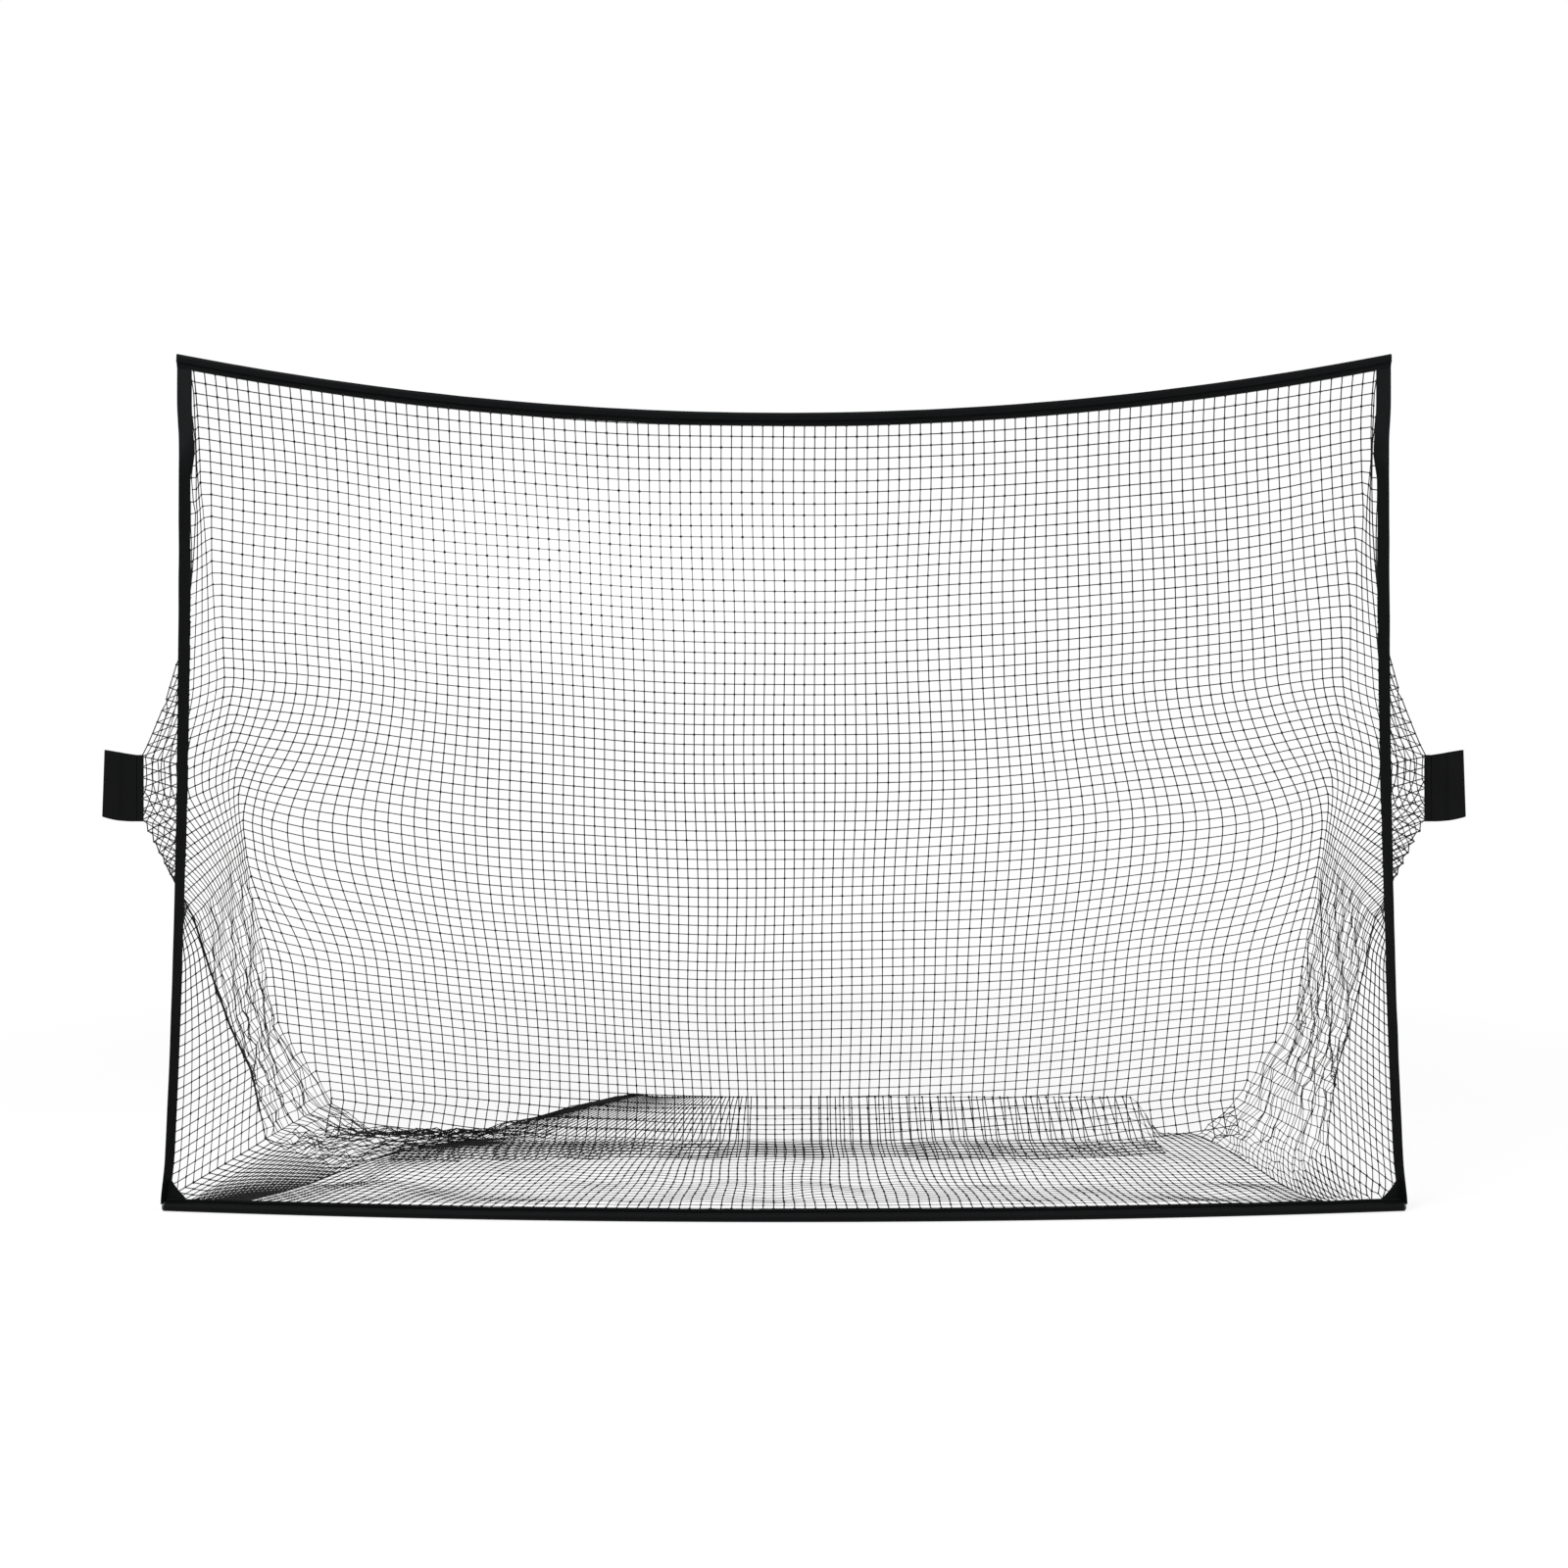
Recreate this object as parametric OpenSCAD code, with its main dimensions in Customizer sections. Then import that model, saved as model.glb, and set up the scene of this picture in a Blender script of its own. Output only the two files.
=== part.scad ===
// Golf chipping net: a square-mesh catch net edged with fabric sleeves on all four sides.
// The top edge hangs on a rope, the bottom edge is held out by a bowed base rail in three tubes,
// and a pole tab on each side net draws it outward.
// +X is the player's right, +Y is away from the player, +Z is up.
// The origin is on the ground, under the middle of the whole net.

/* [Front opening] */
// Width across the two top corners
corner_w = 3022; // [2400:1:3600]
// Height of the top corners above the ground
corner_h = 2133; // [1800:1:2400]
// How far the middle of the top edge hangs below its corners, along the back net's slope
top_sag = 148; // [60:1:240]
// How far the middle of the base rail stands forward of its ends
base_bow = 88; // [40:1:160]
// How much further than the top corners each end of the base rail reaches
base_spread = 28; // [0:1:60]

/* [Netting] */
// Slope of the back net from upright
back_slope = 19.5; // [14:0.5:26]
// Height at which the back net meets the rising floor net
foot_h = 100; // [60:1:160]
// Half width that the back net loses between its top and its foot
back_taper = 34; // [0:1:80]
// How far the pull of the side nets widens each half of the back net
back_swell = 12; // [0:1:20]
// Length of floor net that lies flat on the ground, behind the corners
floor_flat = 480; // [380:1:560]
// Where the floor net first touches the ground, behind the corners
floor_touch = 230; // [120:1:320]
// Height of the side net's top corner above the ground
side_top = 1870; // [1600:1:1950]
// Width of a strand in the plane of the net
strand_w = 4; // [3:0.5:8]
// Thickness of the net
net_t = 3; // [2:0.5:5]
// Gaps across the back net
back_cols = 16; // [8:1:18]
// Gaps down the back net
back_rows = 10; // [6:1:13]
// Gaps down the flap under the back net's foot
flap_rows = 2; // [1:1:3]
// Gaps across the floor net and its ramp
floor_cols = 16; // [8:1:20]

/* [Edge sleeves] */
// Height of the top sleeve's rope tunnel
top_tunnel_h = 22; // [18:0.5:30]
// Depth of the top sleeve's rope tunnel, front to back
top_tunnel_t = 13; // [12:0.5:16]
// Height of the sewn hem under the top tunnel
top_hem = 12; // [8:0.5:24]
// Thickness of one layer of sleeve cloth
cloth_t = 1.2; // [0.8:0.1:1.6]
// Width of the side sleeves' folded band
band_w = 37; // [28:0.5:50]
// Angle of the side sleeves' band below its twist, from the width of the opening
band_turn = 108; // [95:1:125]
// Length over which the side sleeves twist
band_twist_l = 110; // [80:1:260]
// Height of the bottom sleeve's hem above the middle of its tunnel
bottom_hem = 18; // [14:0.5:26]
// Legs of the triangular corner gussets
gusset_leg = 44; // [30:1:60]

/* [Rope and base rail] */
// Diameter of the top edge rope
rope_d = 10; // [8:0.5:11]
// Outer diameter of the base tubes
tube_d = 19; // [16:0.5:25]
// Wall of the base tubes
tube_wall = 1; // [0.8:0.1:1.5]
// Length of the ferrules that join the base tubes
ferrule_l = 120; // [80:1:160]
// Wall of the ferrules
ferrule_wall = 1; // [0.8:0.1:1.5]
// Length of the end bushing's spigot in the tube
spigot_l = 40; // [25:1:60]
// Thickness of the end bushing's flange
flange_t = 6; // [4:0.5:10]
// Bore of the end bushings, where a stand's pole plugs in
socket_d = 12; // [9:0.1:12.5]

/* [Pole tabs] */
// Height of the pole tabs
tab_h = 171; // [140:1:240]
// Length of the swinging tab from its seam
tab_l = 85; // [75:1:150]
// Length of the pole pocket, measured along the tab
pocket_l = 50; // [40:1:60]
// Clear depth inside the pole pocket
pocket_gap = 8; // [7:0.5:12]
// How far each seam stands out from the top corner
tab_out = 137; // [90:1:200]
// How far each seam stands behind the top corners
tab_back = 145; // [110:1:220]
// Height of the middle of the tabs
tab_z = 1042; // [900:1:1150]
// Angle of the tabs from the width of the opening
tab_turn = 0; // [-20:1:30]
// How much lower the middle of the tab's bottom edge is than its ends
tab_drop = 4; // [1:0.5:8]
// Length of the sewn seam strip that carries each tab
seam_l = 12; // [8:0.5:20]

/* [Hidden] */

// Clearance of pieces that lie against each other, and of tubes inside each other
seat = 0.3;
slide_fit = 0.2;
// A side panel's outer face leans back over the piece beside it by up to this much
lean = 0.4 * net_t;
// Fragments of small rounds, and of the two long bows
small_fn = 48;
bow_fn = 720;

cloth_color = "#17191b";
net_color = "#202224";
steel_color = "#8d9297";
rope_color = "#c9c6bd";
plastic_color = "#111213";

// Radius of an arc from its chord and its rise, and half the angle that it spans
function arc_r(chord, rise) = (chord * chord / 4 + rise * rise) / (2 * rise);
function arc_half(chord, rise) = asin(chord / 2 / arc_r(chord, rise));
function mix(a, b, t) = a + (b - a) * t;
function clamp(t) = min(1, max(0, t));
function ease(t) = clamp(t) * clamp(t) * (3 - 2 * clamp(t));
function unit(v) = v / norm(v);
function heading(a) = [cos(a), sin(a), 0];

// Top edge: an arc in the plane of the back net, s down the slope from the line of the corners
top_r = arc_r(corner_w, top_sag);
top_half = arc_half(corner_w, top_sag);
top_band = top_tunnel_h + top_hem;
function edge_s(x, below) = sqrt(pow(top_r + below, 2) - x * x) - (top_r - top_sag);
function on_slope(x, s) = [x, s * sin(back_slope), corner_h - s * cos(back_slope)];

// Base rail: an arc in plan, its ends level with the corners
tube_w = corner_w + 2 * base_spread;
base_r = arc_r(tube_w, base_bow);
base_half = arc_half(tube_w, base_bow);
sleeve_bore_r = tube_d / 2 + slide_fit;
bottom_r = sleeve_bore_r + cloth_t;
rail_z = bottom_r;
hem_back = bottom_r;
hem_top = rail_z + bottom_hem;
function rail_y(x) = base_r - base_bow - sqrt(base_r * base_r - x * x);

// Floor net: from the bottom hem down to the ground, flat, then rising to the back net's foot
foot_s = (corner_h - foot_h) / cos(back_slope);
foot = [foot_s * sin(back_slope), foot_h];
ramp_start = [floor_flat, 0];
ramp_tail = 22;
// The foot stands this far off the ramp's underside, which leaves room for the ramp and the flap
flap_lift = 2 * net_t + seat;
foot_far = norm(foot - ramp_start);
ramp_angle = atan2(foot[1], foot[0] - floor_flat) - asin(flap_lift / foot_far);
ramp_dir = [cos(ramp_angle), sin(ramp_angle)];
ramp_up = [-sin(ramp_angle), cos(ramp_angle)];
ramp_end = ramp_start + (sqrt(foot_far * foot_far - flap_lift * flap_lift) + ramp_tail) * ramp_dir;
// The ramp starts where its upper edge just clears the end of the flat floor
bend_gap = seat + net_t * ramp_dir[1];
flap_end = ramp_start + flap_lift * ramp_up + 2 * strand_w * ramp_dir;
back_half_top = corner_w / 2 - band_w - seat;
back_half_foot = back_half_top - back_taper;
// The back net's top edge runs in chords between its strands, which rise above the hem's arc
chord_rise = pow(2 * back_half_top / back_cols, 2) / (8 * top_r);
hem_gap = seat + chord_rise;
back_s = edge_s(back_half_top, top_band + hem_gap);
function half_at(t) = back_half_top + back_swell * sin(180 * t) - back_taper * pow(t, 3);
function back_half(s) = half_at((s - back_s) / (foot_s - back_s));
floor_half_front = tube_w / 2 - band_w / 2;
floor_rows = 2;

// Side sleeves: a flat band that turns from the opening's plane towards the pull of the tabs
band_top_x = corner_w / 2 - band_w / 2;
band_bottom_edge = tube_w / 2 + band_w / 2 * abs(cos(band_turn));
band_y = edge_s(band_top_x, top_band) * sin(back_slope);
band_bottom_z = hem_top + seat;
twist_top = side_top + 0.6 * band_twist_l;
function band_angle(z) = mix(180, band_turn, ease((twist_top - z) / band_twist_l));
// The band's outer edge flares out towards the ground, and its middle line lies inside that edge
function band_edge_x(z) =
    mix(corner_w / 2, band_bottom_edge, pow(clamp((corner_h - z) / (corner_h - band_bottom_z)), 3));
function band_x(z) = band_edge_x(z) - band_w / 2 * abs(cos(band_angle(z)));
// The front panel turns sharply outward here, so its inner face starts a net's thickness away
function band_net_edge(z) =
    [band_x(z), band_y, z] + (band_w / 2 + seat + net_t) * heading(band_angle(z));

// Pole tabs: the seam stands at the outermost fold of the side net
seam_x = corner_w / 2 + tab_out;
seam_out = heading(tab_turn);
pocket_t = pocket_gap + 2 * cloth_t;

// Middle of the whole depth, which becomes Y = 0
front_reach = -base_bow - bottom_r;
back_reach = ramp_end[0];
front_y = -(front_reach + back_reach) / 2;

// Values at the two sides of each strand line across a sheet of n gaps, from 0 to 1
function line_edges(n, w) = [for (k = [0 : n]) for (side = [0, 1]) (1 - w) * k / n + side * w];

// Steps between the points that give a sheet's slope, as shares of its sides. A step past a side
// goes on into the next sheet, so two sheets that meet in a fold share a mitred face.
step_u = 0.01;
step_v = 0.004;
function outer_point(skin, u, v) = skin(u, v) + net_t * unit(cross(
    skin(u + step_u, v) - skin(u - step_u, v),
    skin(u, v + step_v) - skin(u, v - step_v)));

// A square-mesh sheet: skin(u, v) is its inner face for u and v from 0 to 1, the gaps are
// cols by rows, and its outer face lies net_t away along the cross product of u and v
module net_sheet(skin, cols, rows, len_u, len_v) {
    us = line_edges(cols, strand_w / len_u);
    vs = line_edges(rows, strand_w / len_v);
    nu = len(us);
    nv = len(vs);
    inner = [for (u = us) for (v = vs) skin(u, v)];
    outer = [for (u = us) for (v = vs) outer_point(skin, u, v)];
    shift = nu * nv;
    function at(a, b) = a * nv + b;
    function filled(a, b) =
        a >= 0 && a < nu - 1 && b >= 0 && b < nv - 1 && (a % 2 == 0 || b % 2 == 0);
    function quad(p, q, r, s) = [[p, q, r], [p, r, s]];
    faces = [for (a = [0 : nu - 2]) for (b = [0 : nv - 2]) if (filled(a, b)) each concat(
        quad(at(a, b), at(a + 1, b), at(a + 1, b + 1), at(a, b + 1)),
        quad(shift + at(a, b), shift + at(a, b + 1),
            shift + at(a + 1, b + 1), shift + at(a + 1, b)),
        filled(a, b - 1) ? [] : quad(at(a, b), shift + at(a, b),
            shift + at(a + 1, b), at(a + 1, b)),
        filled(a, b + 1) ? [] : quad(at(a, b + 1), at(a + 1, b + 1),
            shift + at(a + 1, b + 1), shift + at(a, b + 1)),
        filled(a - 1, b) ? [] : quad(at(a, b), at(a, b + 1),
            shift + at(a, b + 1), shift + at(a, b)),
        filled(a + 1, b) ? [] : quad(at(a + 1, b), shift + at(a + 1, b),
            shift + at(a + 1, b + 1), at(a + 1, b + 1)))];
    polyhedron(points = concat(inner, outer), faces = faces);
}

// A closed skin over a list of rings of equally many points, which run clockwise seen from the end
module loft(rings) {
    n = len(rings[0]);
    last = len(rings) - 1;
    sides = [for (k = [0 : last - 1]) for (i = [0 : n - 1])
        let (j = (i + 1) % n, a = k * n + i, b = k * n + j)
        each [[a, b, b + n], [a, b + n, a + n]]];
    ends = [for (i = [1 : n - 2])
        each [[0, i + 1, i], [last * n, last * n + i, last * n + i + 1]]];
    polyhedron(points = [for (ring = rings) each ring], faces = concat(sides, ends));
}

// A slot outline of length l and width w, with round ends, from x = 0
module slot_outline(l, w) {
    for (x = [w / 2, l - w / 2])
        translate([x, 0])
            circle(d = w, $fn = small_fn);
    translate([w / 2, -w / 2])
        square([l - w, w]);
}

// Sweeps an outline along the top edge: its x is the distance below the edge, its y points forward
module along_top(inset = 0) {
    half = top_half - asin(inset / top_r);
    translate([0, front_y, corner_h])
        rotate([90 + back_slope, 0, 0])
            translate([0, top_r - top_sag, 0])
                rotate([0, 0, 270 - half])
                    rotate_extrude(angle = 2 * half, $fn = bow_fn)
                        translate([top_r, 0])
                            children();
}

// Sweeps an outline about the rail's middle along the base rail, from and to a share of its half
module along_rail(from_share = -1, to_share = 1) {
    translate([0, front_y + base_r - base_bow, rail_z])
        rotate([0, 0, 270 + from_share * base_half])
            rotate_extrude(angle = (to_share - from_share) * base_half, $fn = bow_fn)
                translate([base_r, 0])
                    children();
}

// Share of the rail's half that a length along it takes
function rail_share(l) = l / (base_r * base_half * PI / 180);

module ring_outline(outer, inner) {
    difference() {
        circle(r = outer, $fn = small_fn);
        circle(r = inner, $fn = small_fn);
    }
}

// --- Edge sleeves ---

module top_sleeve() {
    color(cloth_color)
        along_top()
            difference() {
                union() {
                    slot_outline(top_tunnel_h, top_tunnel_t);
                    translate([top_tunnel_h - cloth_t, -cloth_t])
                        square([top_hem + cloth_t, 2 * cloth_t]);
                }
                translate([cloth_t, 0])
                    slot_outline(top_tunnel_h - 2 * cloth_t, top_tunnel_t - 2 * cloth_t);
            }
}

// The rope carries the sleeve, so it lies in the top of the tunnel, its ends just inside
rope_inset = 6;

module top_edge_rope() {
    color(rope_color)
        along_top(inset = rope_inset)
            translate([cloth_t + seat + rope_d / 2, 0])
                circle(d = rope_d, $fn = small_fn);
}

module bottom_sleeve() {
    color(cloth_color)
        along_rail()
            difference() {
                union() {
                    circle(r = bottom_r, $fn = small_fn);
                    translate([-hem_back, 0])
                        square([2 * cloth_t, bottom_hem]);
                }
                circle(r = sleeve_bore_r, $fn = small_fn);
            }
}

// One station of the side band: four corners about its middle line, trimmed under the top hem
function band_ring(z) =
    let (a = band_angle(z), along = heading(a), across = heading(a + 90),
        middle = [band_x(z), band_y + front_y, z])
    [for (c = [[1, 1], [1, -1], [-1, -1], [-1, 1]])
        let (p = middle + c[0] * band_w / 2 * along + c[1] * cloth_t * across)
        [p[0], p[1], min(z, corner_h - (edge_s(p[0], top_band) + seat) * cos(back_slope))]];

// Heights along the side band at which its cross-section is set
band_steps = 30;

module side_sleeve() {
    color(cloth_color)
        loft([for (k = [0 : band_steps])
            band_ring(mix(band_bottom_z, corner_h, k / band_steps))]);
}

module corner_gusset() {
    gusset_x = band_x(band_bottom_z) - band_w / 2 * abs(cos(band_turn)) - cloth_t - seat;
    color(cloth_color)
        translate([gusset_x, front_y + rail_y(gusset_x) + hem_back, band_bottom_z])
            rotate([90, 0, 0])
                linear_extrude(2 * cloth_t)
                    polygon([[0, 0], [0, gusset_leg], [-gusset_leg, 0]]);
}

// --- Base rail ---

// The three tubes meet inside the ferrules, seat apart
joint_share = 1 / 3;

module base_tube(from_share, to_share) {
    color(steel_color)
        along_rail(from_share, to_share)
            ring_outline(tube_d / 2, tube_d / 2 - tube_wall);
}

module base_ferrule() {
    ferrule_r = tube_d / 2 - tube_wall - slide_fit;
    color(steel_color)
        along_rail(joint_share - rail_share(ferrule_l / 2), joint_share + rail_share(ferrule_l / 2))
            ring_outline(ferrule_r, ferrule_r - ferrule_wall);
}

// The flange's bevelled rim, and how far a cut runs past a face
flange_bevel = 2.5;
past = 1;

// Half outline of the bushing, x out from its axis and y along it, the tube's end at y = 0
module bushing_outline() {
    spigot_r = tube_d / 2 - tube_wall - slide_fit;
    difference() {
        union() {
            translate([0, -spigot_l])
                square([spigot_r, spigot_l + seat + past]);
            translate([0, seat])
                polygon([[0, 0], [bottom_r, 0], [bottom_r, flange_t - flange_bevel],
                    [bottom_r - flange_bevel, flange_t], [0, flange_t]]);
        }
        translate([-past, -spigot_l - past])
            square([past + socket_d / 2, spigot_l + seat + flange_t + 2 * past]);
    }
}

module base_bushing() {
    color(plastic_color)
        translate([tube_w / 2, front_y, rail_z])
            rotate([0, 0, base_half])
                rotate([0, 90, 0])
                    rotate_extrude($fn = small_fn)
                        bushing_outline();
}

// --- Netting ---

// Back net: from the top hem down its slope to the foot
function back_point(u, v) =
    let (side = 2 * u - 1)
    on_slope(side * half_at(v),
        mix(edge_s(side * back_half_top, top_band + hem_gap), foot_s, v));

module back_net() {
    color(net_color)
        translate([0, front_y, 0])
            net_sheet(function (u, v) back_point(u, v), back_cols, back_rows,
                2 * back_half_top, foot_s);
}

// Flap: from the foot forward over the ramp
function flap_point(u, v) =
    let (p = mix(foot - seat * ramp_dir, flap_end, v))
    [(2 * u - 1) * back_half_foot, p[0], p[1]];

module back_flap() {
    color(net_color)
        translate([0, front_y, 0])
            net_sheet(function (u, v) flap_point(u, v), back_cols, flap_rows,
                2 * back_half_top, norm(foot - flap_end));
}

// Height of the floor's underside at a distance behind the corners
function floor_z(y, front_z) =
    y < floor_touch ? front_z * (1 - y / floor_touch)
    : y < floor_flat ? 0
    : (y - floor_flat) * ramp_end[1] / (ramp_end[0] - floor_flat);

// Half the floor's width, which ends against the side nets' bottom edge
function floor_half(y) = min(floor_half_front, low_line_x(y) - seat);
function floor_start(x) = rail_y(x) + hem_back + seat;

// Floor net: from the bottom hem down to the ground, then flat
function floor_point(u, v) =
    let (row = v * floor_rows, edge_start = floor_start(floor_half_front),
        edge_y = row <= 1 ? mix(edge_start, floor_touch, row) : mix(floor_touch, floor_flat, row - 1),
        x = (2 * u - 1) * floor_half(edge_y))
    row <= 1
        ? [x, mix(floor_start(x), floor_touch, row), mix(hem_top - net_t, 0, row)]
        : [x, edge_y, 0];

module floor_net() {
    color(net_color)
        translate([0, front_y, 0])
            net_sheet(function (u, v) floor_point(u, v), floor_cols, floor_rows,
                2 * floor_half_front, floor_flat);
}

// Ramp: from the end of the flat floor up under the back net's foot
function ramp_point(u, v) =
    let (p = mix(ramp_start + bend_gap * ramp_dir, ramp_end, v))
    [(2 * u - 1) * floor_half(p[0]), p[0], p[1]];

module floor_ramp() {
    color(net_color)
        translate([0, front_y, 0])
            net_sheet(function (u, v) ramp_point(u, v), floor_cols, 1,
                2 * floor_half_front, norm(ramp_end - ramp_start));
}

// Side net, seen on the right: a front panel from the side sleeve to the fold that the tab pulls
// out, and a rear panel from the fold to the back net. Its bottom edge lies along the floor net.
front_cols = 2;
rear_cols = 3;
side_rows = 10;
side_fold = front_cols / (front_cols + rear_cols);
seam_rows = [5, 6];
fold_foot = 0.45;
// Power with which the fold falls back from the tab, and how far its slack sags inward below
fold_draw = 3;
fold_slump = 50;
side_lift = 4;
side_rise = 10;
side_gap = seat + lean;
side_bottom = band_bottom_z + side_lift;
side_len = 480;

function side_front(v) = band_net_edge(mix(side_bottom, side_top, v));
function side_rear(v) =
    let (z = mix(foot_h + net_t, side_top + side_rise, v), s = (corner_h - z) / cos(back_slope))
    on_slope(back_half(s) + side_gap, s);
// The bottom edge follows the floor, and its rear end climbs the last of the way to the foot
function side_low(u) =
    let (a = side_front(0), b = side_rear(0), y = mix(a[1], b[1], u),
        climb = b[2] - floor_z(b[1], side_bottom))
    [mix(a[0], b[0], u), y, floor_z(y, side_bottom) + climb * pow(u, 8)];
function low_line_x(y) =
    let (a = side_front(0), b = side_rear(0))
    mix(a[0], b[0], (y - a[1]) / (b[1] - a[1]));

// The fold: its depth and height run straight from the tab, and its reach falls away in a curve
tab_low = [seam_x, tab_back, tab_z - tab_h / 2];
tab_high = [seam_x, tab_back, tab_z + tab_h / 2];
function fold_line(a, b, t, slump) =
    let (p = mix(a, b, t), reach = a[0] - b[0])
    [b[0] + reach * pow(1 - t, fold_draw) - slump * pow(sin(180 * t), 2), p[1], p[2]];
function side_middle(v) =
    let (low = seam_rows[0] / side_rows, high = seam_rows[1] / side_rows)
    v < low ? fold_line(tab_low, side_low(fold_foot), 1 - v / low, fold_slump)
    : v < high ? mix(tab_low, tab_high, (v - low) / (high - low))
    : fold_line(tab_high, mix(side_front(1), side_rear(1), 0.5), (v - high) / (1 - high), 0);
function side_plain(u, v) =
    u < side_fold
        ? mix(side_front(v), side_middle(v), u / side_fold)
        : mix(side_middle(v), side_rear(v), (u - side_fold) / (1 - side_fold));
function side_point(u, v) =
    let (reach = u < side_fold
            ? fold_foot * u / side_fold
            : mix(fold_foot, 1, (u - side_fold) / (1 - side_fold)),
        settle = pow(1 - clamp(v * side_rows / seam_rows[0]), 2))
    side_plain(u, v) + settle * (side_low(reach) - side_plain(u, 0));

// Each panel stops half the seat short of the fold
function fold_share(a, b) = 1 - seat / 2 / norm(a - b);
function front_panel(u, v) =
    side_point(u * side_fold * fold_share(side_point(0, v), side_point(side_fold, v)), v);
function rear_panel(u, v) =
    side_point(1 - (1 - u) * (1 - side_fold)
        * fold_share(side_point(side_fold, v), side_point(1, v)), v);

module side_net_front() {
    color(net_color)
        translate([0, front_y, 0])
            net_sheet(function (u, v) front_panel(u, v), front_cols, side_rows,
                side_len * side_fold, side_top);
}

module side_net_rear() {
    color(net_color)
        translate([0, front_y, 0])
            net_sheet(function (u, v) rear_panel(u, v), rear_cols, side_rows,
                side_len * (1 - side_fold), side_top);
}

// --- Pole tabs ---

// How far the side net's outer face reaches along the tab, over the strands beside its fold
seam_edges = [for (row = seam_rows) for (k = [0, 1])
    line_edges(side_rows, strand_w / side_top)[2 * row + k]];
function reach_out(p) = (p - [seam_x, tab_back, 0]) * seam_out;
fold_reach = max([for (v = seam_edges) for (p = [
    outer_point(function (a, b) front_panel(a, b), 1, v),
    outer_point(function (a, b) rear_panel(a, b), 0, v)]) reach_out(p)]);
seam_start = fold_reach + seat;
seam_axis = seam_start + seam_l + cloth_t + seat;

// Places children at the right-hand seam, with x running out along the tab
module at_seam() {
    translate([seam_x, front_y + tab_back, tab_z])
        rotate([0, 0, tab_turn])
            children();
}

module tab_seam() {
    color(cloth_color)
        at_seam()
            translate([seam_start, -2 * cloth_t, -tab_h / 2])
                cube([seam_l, 4 * cloth_t, tab_h]);
}

// A sewn flat part with a rounded inner edge, which swings at the seam, and a flattened pole pocket
module pole_tab() {
    drop_r = arc_r(tab_l, tab_drop);
    color(cloth_color)
        at_seam()
            translate([seam_axis, 0, 0])
                intersection() {
                    translate([0, 0, -tab_h / 2 - tab_drop])
                        linear_extrude(tab_h + tab_drop)
                            difference() {
                                union() {
                                    translate([-cloth_t, 0])
                                        slot_outline(tab_l - pocket_l + pocket_t / 2, 2 * cloth_t);
                                    translate([tab_l - pocket_l, 0])
                                        slot_outline(pocket_l, pocket_t);
                                }
                                translate([tab_l - pocket_l + cloth_t, 0])
                                    slot_outline(pocket_l - 2 * cloth_t, pocket_gap);
                            }
                    translate([tab_l / 2, 0, -tab_h / 2 - tab_drop + drop_r])
                        rotate([90, 0, 0])
                            cylinder(r = drop_r, h = 4 * pocket_t, center = true, $fn = bow_fn);
                }
}

top_sleeve();
top_edge_rope();
bottom_sleeve();
mirror([1, 0, 0]) side_sleeve();  // left_sleeve
side_sleeve();  // right_sleeve
mirror([1, 0, 0]) corner_gusset();  // left_corner_gusset
corner_gusset();  // right_corner_gusset
base_tube(-1, -joint_share - rail_share(seat / 2));  // base_tube_left
base_tube(-joint_share + rail_share(seat / 2), joint_share - rail_share(seat / 2));  // base_tube_center
base_tube(joint_share + rail_share(seat / 2), 1);  // base_tube_right
mirror([1, 0, 0]) base_ferrule();  // base_ferrule_left
base_ferrule();  // base_ferrule_right
mirror([1, 0, 0]) base_bushing();  // base_bushing_left
base_bushing();  // base_bushing_right
back_net();
back_flap();
floor_net();
floor_ramp();
mirror([1, 0, 0]) side_net_front();  // left_side_net_front
mirror([1, 0, 0]) side_net_rear();  // left_side_net_rear
side_net_front();  // right_side_net_front
side_net_rear();  // right_side_net_rear
mirror([1, 0, 0]) tab_seam();  // left_tab_seam
tab_seam();  // right_tab_seam
mirror([1, 0, 0]) pole_tab();  // left_pole_tab
pole_tab();  // right_pole_tab
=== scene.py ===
# Golf chipping net: knotted square netting, cloth edge sleeves, a bowed base rail and two pole tabs.
import math

import bpy
import numpy as np
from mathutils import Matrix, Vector


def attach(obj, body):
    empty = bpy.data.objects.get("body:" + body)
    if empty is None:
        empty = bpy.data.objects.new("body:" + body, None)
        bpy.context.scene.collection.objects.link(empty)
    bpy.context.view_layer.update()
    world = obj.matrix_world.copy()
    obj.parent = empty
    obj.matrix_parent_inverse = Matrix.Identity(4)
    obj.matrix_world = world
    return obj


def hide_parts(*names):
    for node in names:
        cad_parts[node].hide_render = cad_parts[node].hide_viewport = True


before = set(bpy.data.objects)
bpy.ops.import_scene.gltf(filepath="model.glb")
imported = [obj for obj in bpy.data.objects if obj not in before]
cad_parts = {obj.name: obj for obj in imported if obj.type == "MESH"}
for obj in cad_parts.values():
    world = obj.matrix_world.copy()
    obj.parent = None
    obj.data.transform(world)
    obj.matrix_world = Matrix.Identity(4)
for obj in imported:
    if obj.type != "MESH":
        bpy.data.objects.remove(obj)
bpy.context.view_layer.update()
print("frame loaded:", len(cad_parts), "nodes")

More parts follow.
